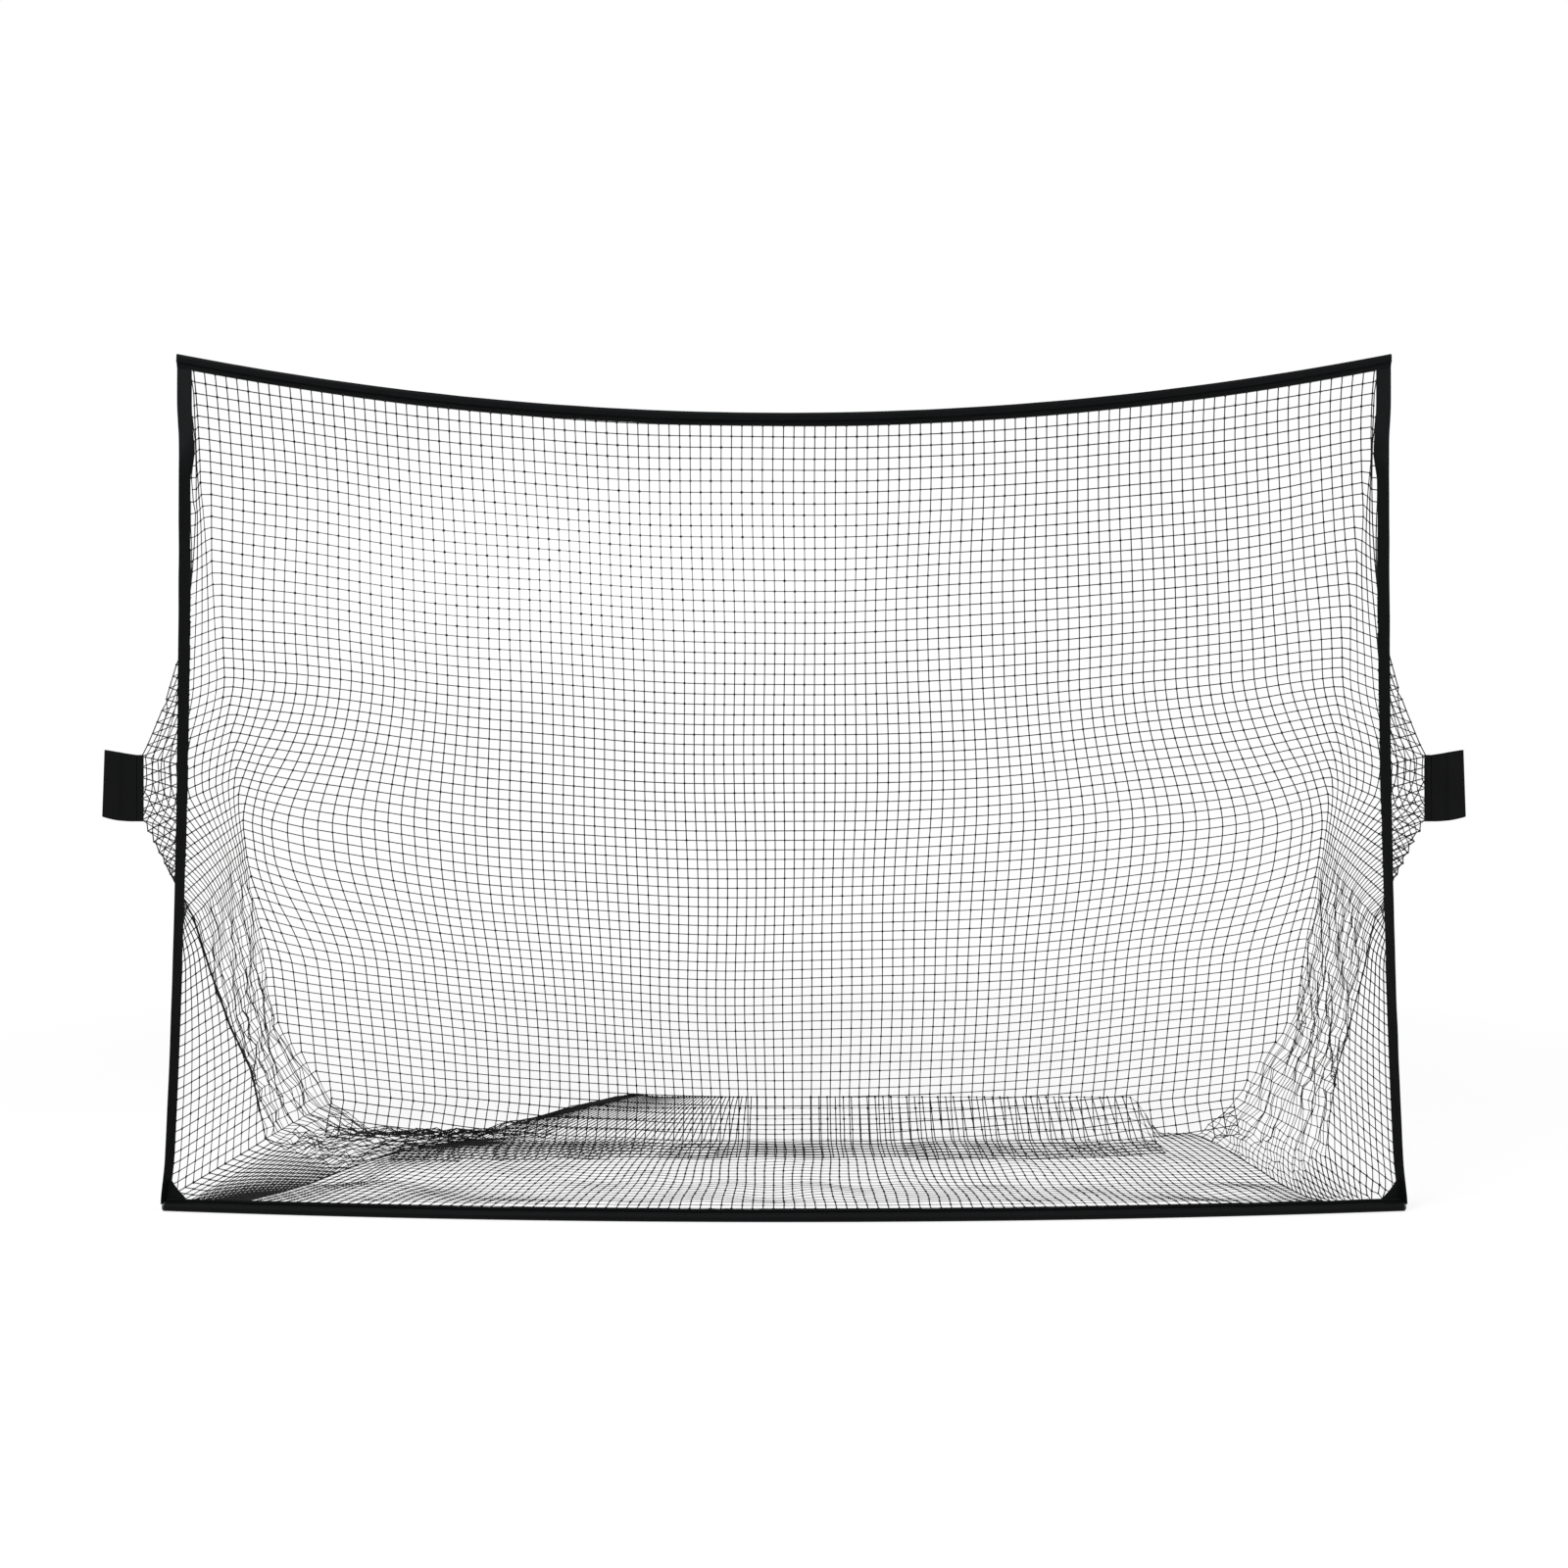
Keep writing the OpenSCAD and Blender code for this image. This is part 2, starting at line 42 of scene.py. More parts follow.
# Sizes that several pieces share, in metres and degrees
opening = dict(
    cornerW=3.022, cornerH=2.133, topSag=0.148,  # the top corners' distance and height, the top edge's sag
    baseBow=0.088, baseSpread=0.028,             # the rail's bow to the front, its reach past the corners
    slope=19.5, footH=0.100,                     # the back net's lean, and the height of its foot
    floorFlat=0.480, rampTail=0.022, netT=0.003,  # these three only place the origin in the depth
    topTunnelH=0.022, topTunnelT=0.013, topHem=0.012,
    clothT=0.0012, bottomHem=0.018, tubeD=0.019, tubeGap=0.0002,
    bandW=0.037)
tab = dict(
    out=0.137, back=0.145, z=1.042, high=0.171, long=0.085, pocket=0.050,
    gap=0.008, turn=0.0, drop=0.004, seam=0.012)
seat = 0.0003  # clearance between solids that only touch
sides = (("left", -1), ("right", 1))


def unit(v):
    # v over its length
    return v / np.maximum(np.linalg.norm(v, axis=-1, keepdims=True), 1e-12)


def mix(a, b, t):
    # a + (b - a) t
    return a + (b - a) * t


def ease(t):
    # 3t^2 - 2t^3 on 0 to 1
    t = np.clip(t, 0, 1)
    return t * t * (3 - 2 * t)


def bump(t, middle, width):
    # e to the minus ((t - middle) / width) squared
    return np.exp(-((t - middle) / width) ** 2)


def waves(u, v, low, high, count, seed):
    # sum of count sines of random direction, low to high turns per metre, scaled to about -1 to 1
    r = np.random.default_rng(seed)
    total = np.zeros(np.broadcast(u, v).shape)
    for turns, angle, phase in zip(r.uniform(low, high, count), r.uniform(0, math.pi, count),
                                   r.uniform(0, 2 * math.pi, count)):
        total += np.sin(2 * math.pi * turns * (u * math.cos(angle) + v * math.sin(angle)) + phase)
    return total / math.sqrt(count)


def arcRadius(chord, rise):
    # (chord^2 / 4 + rise^2) / (2 rise)
    return (chord * chord / 4 + rise * rise) / (2 * rise)


# Derived sizes
cornerW, cornerH, clothT, bandW = [opening[key] for key in ("cornerW", "cornerH", "clothT", "bandW")]
slope = math.radians(opening["slope"])
topR = arcRadius(cornerW, opening["topSag"])
topHalf = math.asin(cornerW / 2 / topR)
topBand = opening["topTunnelH"] + opening["topHem"]
tubeW = cornerW + 2 * opening["baseSpread"]
baseR = arcRadius(tubeW, opening["baseBow"])
baseHalf = math.asin(tubeW / 2 / baseR)
bottomR = opening["tubeD"] / 2 + opening["tubeGap"] + clothT
railZ = bottomR
hemTop = railZ + opening["bottomHem"]
footS = (cornerH - opening["footH"]) / math.cos(slope)
footD = footS * math.sin(slope)
halfTop = cornerW / 2 - bandW - seat
bandBottomZ = hemTop + seat
bandTopX = cornerW / 2 - bandW / 2
seamX = cornerW / 2 + tab["out"]


def edgeS(x, below):
    # distance down the slope of the top arc: sqrt((R + below)^2 - x^2) - (R - sag)
    return np.sqrt((topR + below) ** 2 - x * x) - (topR - opening["topSag"])


def railD(x):
    # the base rail's arc in plan: R - bow - sqrt(R^2 - x^2)
    return baseR - opening["baseBow"] - np.sqrt(baseR * baseR - x * x)


# The ramp leaves room for the flap under the foot; the origin is in the middle of the depth
flapLift = 2 * opening["netT"] + seat
footFar = math.hypot(footD - opening["floorFlat"], opening["footH"])
rampTurn = math.atan2(opening["footH"], footD - opening["floorFlat"]) - math.asin(flapLift / footFar)
rampL = math.sqrt(footFar ** 2 - flapLift ** 2) + opening["rampTail"]
frontY = (opening["baseBow"] + bottomR - opening["floorFlat"] - rampL * math.cos(rampTurn)) / 2


def place(x, d, z):
    # x, d behind the corners, z up, as points of the row frame
    x, d, z = np.broadcast_arrays(x, d, z)
    return np.stack([x, d + frontY, z], axis=-1).astype(float)


def onSlope(x, s, out=0.0):
    # a point s down the back net's slope from the corners, and out in front of it
    return place(x, s * math.sin(slope) - out * math.cos(slope),
                 cornerH - s * math.cos(slope) - out * math.sin(slope))


def spread(points, count):
    # count points evenly along an open line of points
    far = np.concatenate([[0], np.cumsum(np.linalg.norm(np.diff(points, axis=0), axis=1))])
    at = np.linspace(0, far[-1], count)
    return np.stack([np.interp(at, far, points[:, k]) for k in range(points.shape[1])], axis=-1)


def enclosed(points, faces):
    # signed volume: the sum over the faces' triangles of a . (b x c) / 6
    p = np.asarray(points, float)
    p = p - p.mean(axis=0)
    total = 0.0
    for k in range(1, faces.shape[1] - 1):
        a, b, c = p[faces[:, 0]], p[faces[:, k]], p[faces[:, k + 1]]
        total += (a * np.cross(b, c)).sum() / 6
    return total


def addObject(name, data):
    # a new object at the origin of the scene
    made = bpy.data.objects.new(name, data)
    bpy.context.scene.collection.objects.link(made)
    return made


def makeMesh(name, points, faces, uv=None):
    # points (n, 3), faces (m, 3 or 4) and corner coordinates (m * k, 2) go straight into a mesh
    mesh = bpy.data.meshes.new(name)
    faces = np.asarray(faces, np.int32)
    count, sides = faces.shape
    if enclosed(points, faces) < 0:
        faces = faces[:, ::-1]
        uv = None if uv is None else np.asarray(uv).reshape(count, sides, 2)[:, ::-1]
    mesh.vertices.add(len(points))
    mesh.vertices.foreach_set("co", np.asarray(points, np.float32).ravel())
    mesh.loops.add(count * sides)
    mesh.loops.foreach_set("vertex_index", faces.ravel())
    mesh.polygons.add(count)
    mesh.polygons.foreach_set("loop_start", np.arange(0, count * sides, sides, dtype=np.int32))
    mesh.polygons.foreach_set("loop_total", np.full(count, sides, np.int32))
    mesh.polygons.foreach_set("use_smooth", np.full(count, True))
    mesh.update(calc_edges=True)
    if uv is not None:
        layer = mesh.uv_layers.new(name="cloth")
        layer.data.foreach_set("uv", np.asarray(uv, np.float32).ravel())
    return addObject(name, mesh)


def gridFaces(n, m, start=0):
    # quads between neighbours of n closed rings of m points
    a = np.arange(n - 1)[:, None]
    b = np.arange(m)[None, :]
    c = (b + 1) % m
    quads = np.stack([a * m + b, (a + 1) * m + b, (a + 1) * m + c, a * m + c], axis=-1)
    return quads.reshape(-1, 4) + start


def tubeOfRings(outer, inner):
    # a hollow skin: outer rings (n, m, 3), inner rings turned inside out, and a rim at both ends
    n, m = outer.shape[:2]
    size = n * m
    points = np.concatenate([outer.reshape(-1, 3), inner.reshape(-1, 3)])
    skin = gridFaces(n, m)
    lining = gridFaces(n, m, size)[:, ::-1]
    i = np.arange(m)
    j = (i + 1) % m
    first = np.stack([i, j, size + j, size + i], axis=-1)
    last = np.stack([i, size + i, size + j, j], axis=-1) + (n - 1) * m
    return points, np.concatenate([skin, lining, first, last])


def ringUv(n, m, length, around):
    # u runs along the length and v around, both in metres, for the quads of gridFaces
    a = np.arange(n - 1)[:, None] * length / (n - 1)
    b = np.arange(m)[None, :] * around / m
    a2, b2 = a + length / (n - 1), b + around / m
    a, a2, b, b2 = np.broadcast_arrays(a, a2, b, b2)
    return np.stack([a, b, a2, b, a2, b2, a, b2], axis=-1).reshape(-1, 2)


def finishPiece(piece, body, slot, material, *nodes):
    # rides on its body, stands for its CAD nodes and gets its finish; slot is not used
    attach(piece, body)
    if nodes:
        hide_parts(*nodes)
    piece.data.materials.append(material)


class Val:
    # one socket of a material; + - * between sockets and numbers add Math nodes
    def __init__(self, tree, socket):
        self.tree, self.socket = tree, socket

    def math(self, operation, first, second=0.0):
        return Nodes(self.tree).node("Math", dict(operation=operation), {0: first, 1: second})

    def __add__(self, other):
        return self.math("ADD", self, other)

    def __sub__(self, other):
        return self.math("SUBTRACT", self, other)

    def __mul__(self, other):
        return self.math("MULTIPLY", self, other)

    def __radd__(self, other):
        return self.math("ADD", other, self)

    def __rsub__(self, other):
        return self.math("SUBTRACT", other, self)

    def __rmul__(self, other):
        return self.math("MULTIPLY", other, self)


class Nodes:
    # the nodes of one tree: node() adds any node from its type, its settings and its inputs
    def __init__(self, tree):
        self.tree = tree

    def node(self, kind, settings=None, inputs=None, output=0):
        made = self.tree.nodes.new("ShaderNode" + kind)
        for key, value in (settings or {}).items():
            setattr(made, key, value)
        for key, value in (inputs or {}).items():
            self.give(made.inputs[key], value)
        return Val(self.tree, made.outputs[output])

    def give(self, entry, value):
        # a link from a value that varies, or the number or colour itself
        if isinstance(value, Val):
            self.tree.links.new(value.socket, entry)
        else:
            entry.default_value = value


class Finish(Nodes):
    # a material. here is the place on the object; noise() and bands() are patterns on it, shade()
    # mixes a look's dark and light colours by a factor, and bumpFrom() turns a height into a normal
    def __init__(self, name):
        self.material = bpy.data.materials.new(name)
        self.material.use_nodes = True
        super().__init__(self.material.node_tree)
        self.shader = self.tree.nodes["Principled BSDF"]
        self.here = self.node("TexCoord", None, None, 3)

    def set(self, **values):
        for key, value in values.items():
            self.give(self.shader.inputs[key.replace("_", " ")], value)

    def noise(self, scale, detail, at=None):
        return self.node("TexNoise", None, dict(Vector=at or self.here, Scale=scale, Detail=detail))

    def bands(self, way, scale, distortion=0.0, at=None):
        return self.node("TexWave", dict(bands_direction=way),
                         dict(Vector=at or self.here, Scale=scale, Distortion=distortion))

    def shade(self, factor, look):
        return self.node("Mix", dict(data_type="RGBA"), {0: factor, 6: look["dark"], 7: look["light"]}, 2)

    def bumpFrom(self, height, strength, distance):
        return self.node("Bump", None, dict(Height=height, Strength=strength, Distance=distance))


clothLook = dict(
    dark=(0.0016, 0.0018, 0.0020, 1), light=(0.0034, 0.0037, 0.0041, 1),
    rough=0.50, roughVary=0.12, gloss=0.045,
    thread=0.0011, weave=0.35, weaveDepth=0.0006)
tabLook = dict(clothLook, dark=(0.0018, 0.0019, 0.0019, 1), light=(0.0036, 0.0038, 0.0039, 1), rough=0.58)
twineLook = dict(dark=(0.0018, 0.0019, 0.0020, 1), light=(0.0050, 0.0052, 0.0055, 1), rough=0.62, gloss=0.2)
steelLook = dict(dark=(0.36, 0.38, 0.40, 1), light=(0.56, 0.57, 0.59, 1), rough=0.30)
ropeLook = dict(dark=(0.42, 0.40, 0.34, 1), light=(0.70, 0.68, 0.62, 1), rough=0.85)
plasticLook = dict(dark=(0.009, 0.009, 0.010, 1), light=(0.016, 0.016, 0.017, 1), rough=0.42)


def clothFinish(name, look):
    # plain weave: the larger of two bands of threads that cross, on the cloth's own coordinates in
    # metres; the shade goes with 0.7 of a slow noise and 0.3 of a fine one
    f = Finish(name)
    onCloth = f.node("UVMap", dict(uv_map="cloth"))
    threads = math.pi / 10 / look["thread"]
    warp, weft = [f.bands(way, threads, at=onCloth) for way in "XY"]
    slow, fine = f.noise(9.0, 4.0), f.noise(160.0, 2.0)
    weave = f.node("Math", dict(operation="MAXIMUM"), {0: warp, 1: weft})
    f.set(Base_Color=f.shade(slow * 0.7 + fine * 0.3, look),
          Roughness=look["rough"] + look["roughVary"] * fine,
          Normal=f.bumpFrom(weave * 0.7 + slow * 0.9, look["weave"], look["weaveDepth"]),
          Specular_IOR_Level=look["gloss"])
    return f.material


def twineFinish(name, look):
    # twisted strands: bands on the diagonal give the lay, and a slow noise the shade
    f = Finish(name)
    lay, slow = f.bands("DIAGONAL", 110.0, 1.5), f.noise(3.0, 3.0)
    f.set(Base_Color=f.shade(slow * 0.6 + lay * 0.4, look), Roughness=look["rough"] + 0.2 * lay,
          Specular_IOR_Level=look["gloss"], Normal=f.bumpFrom(lay, 0.4, 0.0003))
    return f.material


def steelFinish(name, look):
    # zinc: the cells of the spangle over a grain that is drawn out along the tube
    f = Finish(name)
    drawn = f.node("Mapping", None, dict(Vector=f.here, Scale=(12.0, 900.0, 900.0)))
    grain = f.noise(1.0, 3.0, drawn)
    spangle = f.node("TexVoronoi", None, dict(Vector=f.here, Scale=160.0))
    f.set(Base_Color=f.shade(spangle * 0.6 + grain * 0.4, look), Metallic=1.0,
          Roughness=look["rough"] + 0.22 * grain, Normal=f.bumpFrom(grain, 0.12, 0.0002))
    return f.material


def ropeFinish(name, look):
    # braid: bands on the diagonal, with a fine noise for the fuzz
    f = Finish(name)
    strands, fuzz = f.bands("DIAGONAL", 45.0, 0.6), f.noise(420.0, 2.0)
    f.set(Base_Color=f.shade(strands * 0.7 + fuzz * 0.3, look), Roughness=look["rough"],
          Normal=f.bumpFrom(strands + fuzz * 0.3, 0.7, 0.0012))
    return f.material


def plasticFinish(name, look):
    # moulded plastic: a slow shade and a fine grain
    f = Finish(name)
    grain, slow = f.noise(700.0, 2.0), f.noise(40.0, 2.0)
    f.set(Base_Color=f.shade(slow, look), Roughness=look["rough"] + 0.15 * grain,
          Normal=f.bumpFrom(grain, 0.25, 0.0002))
    return f.material


sleeveCloth = clothFinish("sleeve cloth", clothLook)
tabCloth = clothFinish("tab cloth", tabLook)
twine = twineFinish("net twine", twineLook)
steel = steelFinish("zinc steel", steelLook)
ropeCover = ropeFinish("braided rope", ropeLook)
bushingPlastic = plasticFinish("bushing plastic", plasticLook)
print("finishes made")


netting = dict(
    pitch=0.0285, strandR=0.00145, bunched=0.25,
    knotR=0.0041, knotDeep=0.66, knotSizes=(1.10, 0.84), knotVary=0.1,
    # by how much the twine is worn, and the x and z of the middle and the reach of that patch
    worn=0.50, wornAt=(-0.60, 1.62), wornReach=(0.85, 0.30))


def strandMesh(name, knots, normals, links, radius):
    # each strand is a closed four-sided bar: its corners stand radius off the line from knot to
    # knot, along the net's normal and along the cross product of the line and that normal
    a, b = knots[links[:, 0]], knots[links[:, 1]]
    along = unit(b - a)
    up = unit(normals[links[:, 0]] + normals[links[:, 1]])
    side = unit(np.cross(along, up))
    up = np.cross(side, along)
    corners = np.stack([up, side, -up, -side], axis=1) * radius[:, None, None]
    points = np.concatenate([a[:, None] + corners, b[:, None] + corners], axis=1)
    pattern = np.array([[0, 1, 5, 4], [1, 2, 6, 5], [2, 3, 7, 6], [3, 0, 4, 7], [3, 2, 1, 0], [4, 5, 6, 7]])
    faces = pattern[None] + 8 * np.arange(len(links))[:, None, None]
    return makeMesh(name, points.reshape(-1, 3), faces.reshape(-1, 4)[:, ::-1])


def knotMesh(name, knots, normals, across, radius):
    # each knot is a squat eight-sided lump: its points stand radius along and across the net, and
    # knotDeep of that along its normal
    side = unit(across - (across * normals).sum(-1, keepdims=True) * normals)
    other = np.cross(normals, side)
    out = normals * netting["knotDeep"]
    corners = np.stack([side, other, -side, -other, out, -out], axis=1) * radius[:, None, None]
    points = knots[:, None] + corners
    pattern = np.array([[0, 1, 4], [1, 2, 4], [2, 3, 4], [3, 0, 4],
                        [1, 0, 5], [2, 1, 5], [3, 2, 5], [0, 3, 5]])
    faces = pattern[None] + 6 * np.arange(len(knots))[:, None, None]
    return makeMesh(name, points.reshape(-1, 3), faces.reshape(-1, 3))


def sheetNormals(grid):
    # unit cross product of the differences along both ways of the grid
    return unit(np.cross(np.gradient(grid, axis=0), np.gradient(grid, axis=1)))


def gridLinks(valid):
    # index pairs of neighbouring knots, both there, along both ways of the grid
    n, m = valid.shape
    index = np.arange(n * m).reshape(n, m)
    across = valid[1:] & valid[:-1]
    down = valid[:, 1:] & valid[:, :-1]
    return np.concatenate([
        np.stack([index[:-1][across], index[1:][across]], axis=-1),
        np.stack([index[:, :-1][down], index[:, 1:][down]], axis=-1)])


settle = dict(steps=60, sink=0.0006, pull=0.25, lowest=0.0012)


def relax(grid, free, linked, hold, rest):
    # each step lets the free knots sink a little, draws the ends of each strand that is longer than
    # its cut length together, and moves each knot back towards its place in the cut by its hold
    home, now = grid.copy(), grid.copy()
    hold = np.where(free, hold, 1.0)
    for step in range(settle["steps"]):
        now[..., 2] -= settle["sink"] * (1 - hold)
        for axis in (0, 1):
            ends = [slice(None), slice(None)]
            starts = list(ends)
            ends[axis], starts[axis] = slice(1, None), slice(None, -1)
            ends, starts = tuple(ends), tuple(starts)
            gap = now[ends] - now[starts]
            length = np.linalg.norm(gap, axis=-1, keepdims=True)
            off = np.maximum(length - rest[axis], 0)
            both = (linked[ends] & linked[starts])[..., None]
            push = gap / np.maximum(length, 1e-9) * off * settle["pull"] * both
            now[starts] += push
            now[ends] -= push
        now += (home - now) * hold[..., None]
        now[..., 2] = np.where(free, np.maximum(now[..., 2], settle["lowest"]), now[..., 2])
    return now


def buildNet(name, points, knotsAt, links, seed, tight, crossing, *nodes):
    # strands and knots of one sheet, over the CAD nodes that they stand for; the twine's radius
    # falls off in the worn patch, with tight, which says where it is bunched, and along the rows by
    # the factor crossing; every second knot is larger
    look = netting
    normals = sheetNormals(points).reshape(-1, 3)
    across = np.gradient(points, axis=0).reshape(-1, 3)
    flat = points.reshape(-1, 3)
    middle = (flat[links[:, 0]] + flat[links[:, 1]]) / 2
    worn = look["worn"]
    for axis, at, reach in zip((0, 2), look["wornAt"], look["wornReach"]):
        worn = worn * bump(middle[:, axis], at, reach)
    slim = 1 - look["bunched"] * tight.ravel()
    radius = look["strandR"] * (1 - worn) * (slim[links[:, 0]] + slim[links[:, 1]]) / 2
    radius = radius * np.where(links[:, 1] - links[:, 0] > 1, crossing, 1)
    strands = strandMesh(name + "_strands", flat, normals, links, radius)
    finishPiece(strands, "net", "netting", twine, *nodes)
    here = knotsAt.ravel()
    i, j = np.indices(knotsAt.shape)
    vary = np.random.default_rng(seed).uniform(1 - look["knotVary"], 1 + look["knotVary"], here.size)
    size = look["knotR"] * np.where((i + j) % 2 == 0, *look["knotSizes"]).ravel() * vary * slim
    knots = knotMesh(name + "_knots", flat[here], normals[here], across[here], size[here])
    finishPiece(knots, "net", "netting", twine, *nodes)
    print(name, int(here.sum()), "knots")


wallLook = dict(
    columns=56, pitch=0.02632, footRow=73,
    # the crease along which the side nets fold back, as row and half width
    crease=((0, 1.474), (8, 1.491), (16, 1.484), (32, 1.481), (48, 1.476), (56, 1.462),
            (62, 1.458), (65, 1.447), (67, 1.408), (70, 1.349), (73, 1.313)),
    # how far the tabs draw the columns outward, the power with which that grows towards
    # drawWhole, the share of it that comes in high up and the share lost near the ground;
    # drawAt has the height at which each of the three changes sets in, and its length
    draw=dict(left=(0.215, 2.7, 0.30, 0.30), right=(0.260, 1.7, 0.45, 0.15)),
    drawWhole=1.4, drawAt=((2.1, 0.9), (1.35, 0.45), (0.85, 0.35)), drawTurns=14,
    # how far the rows close up towards the tabs at the crease, as height, reach and rise
    closeUp=((1.45, 0.22, -0.020), (0.82, 0.24, 0.030)), closeIn=0.20,
    # billow and ripples off the slope, shifts along it, and how far from the crease, the
    # top and the foot (as shares of the height) these are whole
    billow=0.028, billowHalf=1.48, ripple=0.008, wander=0.0035, sway=0.0040,
    calmEdge=0.2, calmTop=0.2, calmFoot=0.125)
flapLook = dict(
    half=1.09, reach=0.33, uneven=0.018, sideReach=0.125, lie=0.003, lieIn=0.05, ahead=0.004,
    lapFrom=0.25, lapSteps=500)
floorLook = dict(
    columns=104, rows=30, half=1.34, frontGap=0.4,
    # the even and the late share by which the outer columns are drawn inward
    draw=dict(left=(0.33, 0.52), right=(0.14, 0.02)), drawFrom=0.06, drawPower=1.15, late=8,
    # where the net reaches the ground, where it lifts off again, and the curve of its rise
    touch=0.230, lift=0.635, slack=1.4, liftShare=0.86, liftPower=0.8,
    hump=0.008, humpAt=-0.82, humpReach=0.12, wrinkle=0.004, calm=6, calmTo=0.9,
    # its start below the hem, before and behind the rail, and its end behind the foot
    start=0.003, under=0.004, pastFoot=0.004,
    # from this far out on the right, behind this depth, it lies on the ground
    sunkFrom=1.00, sunkIn=0.10, sunkBehind=0.5, lowest=0.0014)


def floorZ(d, frontZ=0.0):
    # down from the hem to the ground, flat, then up to the foot along a slack curve: the foot's
    # height times a power of the share of the way
    look = floorLook
    rise = np.clip((d - look["lift"]) / (footD - look["lift"]), 0, 1.05) ** look["slack"]
    return np.where(d < look["touch"], frontZ * (1 - d / look["touch"]), opening["footH"] * rise)


# depths along the floor, and how far over it each lies from the foot
lapD = np.linspace(footD, flapLook["lapFrom"], flapLook["lapSteps"])
lapFar = np.concatenate([[0], np.cumsum(np.hypot(np.diff(lapD), np.diff(floorZ(lapD))))])


def rowS(q, k, half):
    # slope distance of row k at q from the middle: the top arc, k pitches below it, and the rows'
    # closing up near the crease
    s = edgeS(np.minimum(q, halfTop), topBand) + k * netting["pitch"]
    z = cornerH - s * math.cos(slope)
    near = np.exp(-np.maximum(half - q, 0) / wallLook["closeIn"])
    for height, reach, rise in wallLook["closeUp"]:
        s = s - rise * bump(z, height, reach) * near
    return s


def backPoint(x, s, half):
    # a point of the back sheet: on the slope, out by a billow with the sine of the way down and by
    # ripples, shifted along it by slow waves; past the foot it lies forward on the floor net
    look, lap = wallLook, flapLook
    w = s / footS
    loose = ease(w / look["calmTop"]) * np.clip((half - np.abs(x)) / look["calmEdge"], 0, 1)
    billow = look["billow"] * np.sin(math.pi * np.clip(w, 0, 1)) * (1 - (x / look["billowHalf"]) ** 2)
    out = billow + look["ripple"] * waves(x, s, 0.4, 1.6, 12, 5) * loose * ease((1 - w) / look["calmFoot"])
    x = x + look["wander"] * waves(x, s, 0.5, 2.2, 14, 3) * loose
    s = s + look["sway"] * waves(x, s, 0.4, 1.9, 14, 4) * loose * ease(np.abs(1 - w) / look["calmFoot"])
    past = s - footS
    settled = ease(past / lap["lieIn"])
    ahead = np.interp(past, lapFar, lapD)
    lift = lap["lie"] * (waves(x, s, 1, 4, 8, 12) + 1.6)
    onFloor = place(x, ahead - lap["ahead"] * settled, floorZ(ahead) + lift * settled)
    return np.where((past > 0)[..., None], onFloor, onSlope(x, s, out))


# Side band: its turn in degrees, which grows by slack higher up, and where and how fast it twists;
# how far its outer edge stands out at the corner, draws in below it and flares at the foot
band = dict(
    turn=108.0, slack=12.0, slackFrom=0.5, slackIn=1.0, twistTop=1.870, twistL=0.130, twistUp=0.6,
    out=0.004, drawIn=0.010, drawTop=2.02, drawL=0.2, flare=0.005, flareTop=0.13, flareL=0.11,
    rings=300, ringPoints=36, ripple=0.0009, calmEdge=0.5, gap=0.00015, tuck=0.012)


def bandAngle(z):
    # 180 degrees above the twist, turn and slack right below it and turn alone low down
    below = ease((band["twistTop"] + band["twistUp"] * band["twistL"] - z) / band["twistL"])
    turn = band["turn"] + band["slack"] * ease((z - band["slackFrom"]) / band["slackIn"])
    return np.radians(mix(180.0, turn, below))


def bandX(z):
    # the middle line lies half the band's shown width inside the outer edge, which runs out to the
    # rail's end with the third power of the way down, and draws in and flares on the way
    low = tubeW / 2 + bandW / 2 * abs(math.cos(math.radians(band["turn"])))
    high = cornerW / 2 + band["out"] - band["drawIn"] * ease((band["drawTop"] - z) / band["drawL"])
    down = np.clip((cornerH - z) / (cornerH - bandBottomZ), 0, 1)
    edge = mix(high, low, down ** 3) + band["flare"] * ease((band["flareTop"] - z) / band["flareL"])
    return edge - bandW / 2 * np.abs(np.cos(bandAngle(z)))


bandD = float(edgeS(bandTopX, topBand)) * math.sin(slope)


def bandNetEdge(z):
    # x, d, z of the band's edge that carries the net: half its width from the middle, at its turn
    a = bandAngle(z)
    reach = bandW / 2
    return np.stack(np.broadcast_arrays(bandX(z) + reach * np.cos(a), bandD + reach * np.sin(a), z), axis=-1)


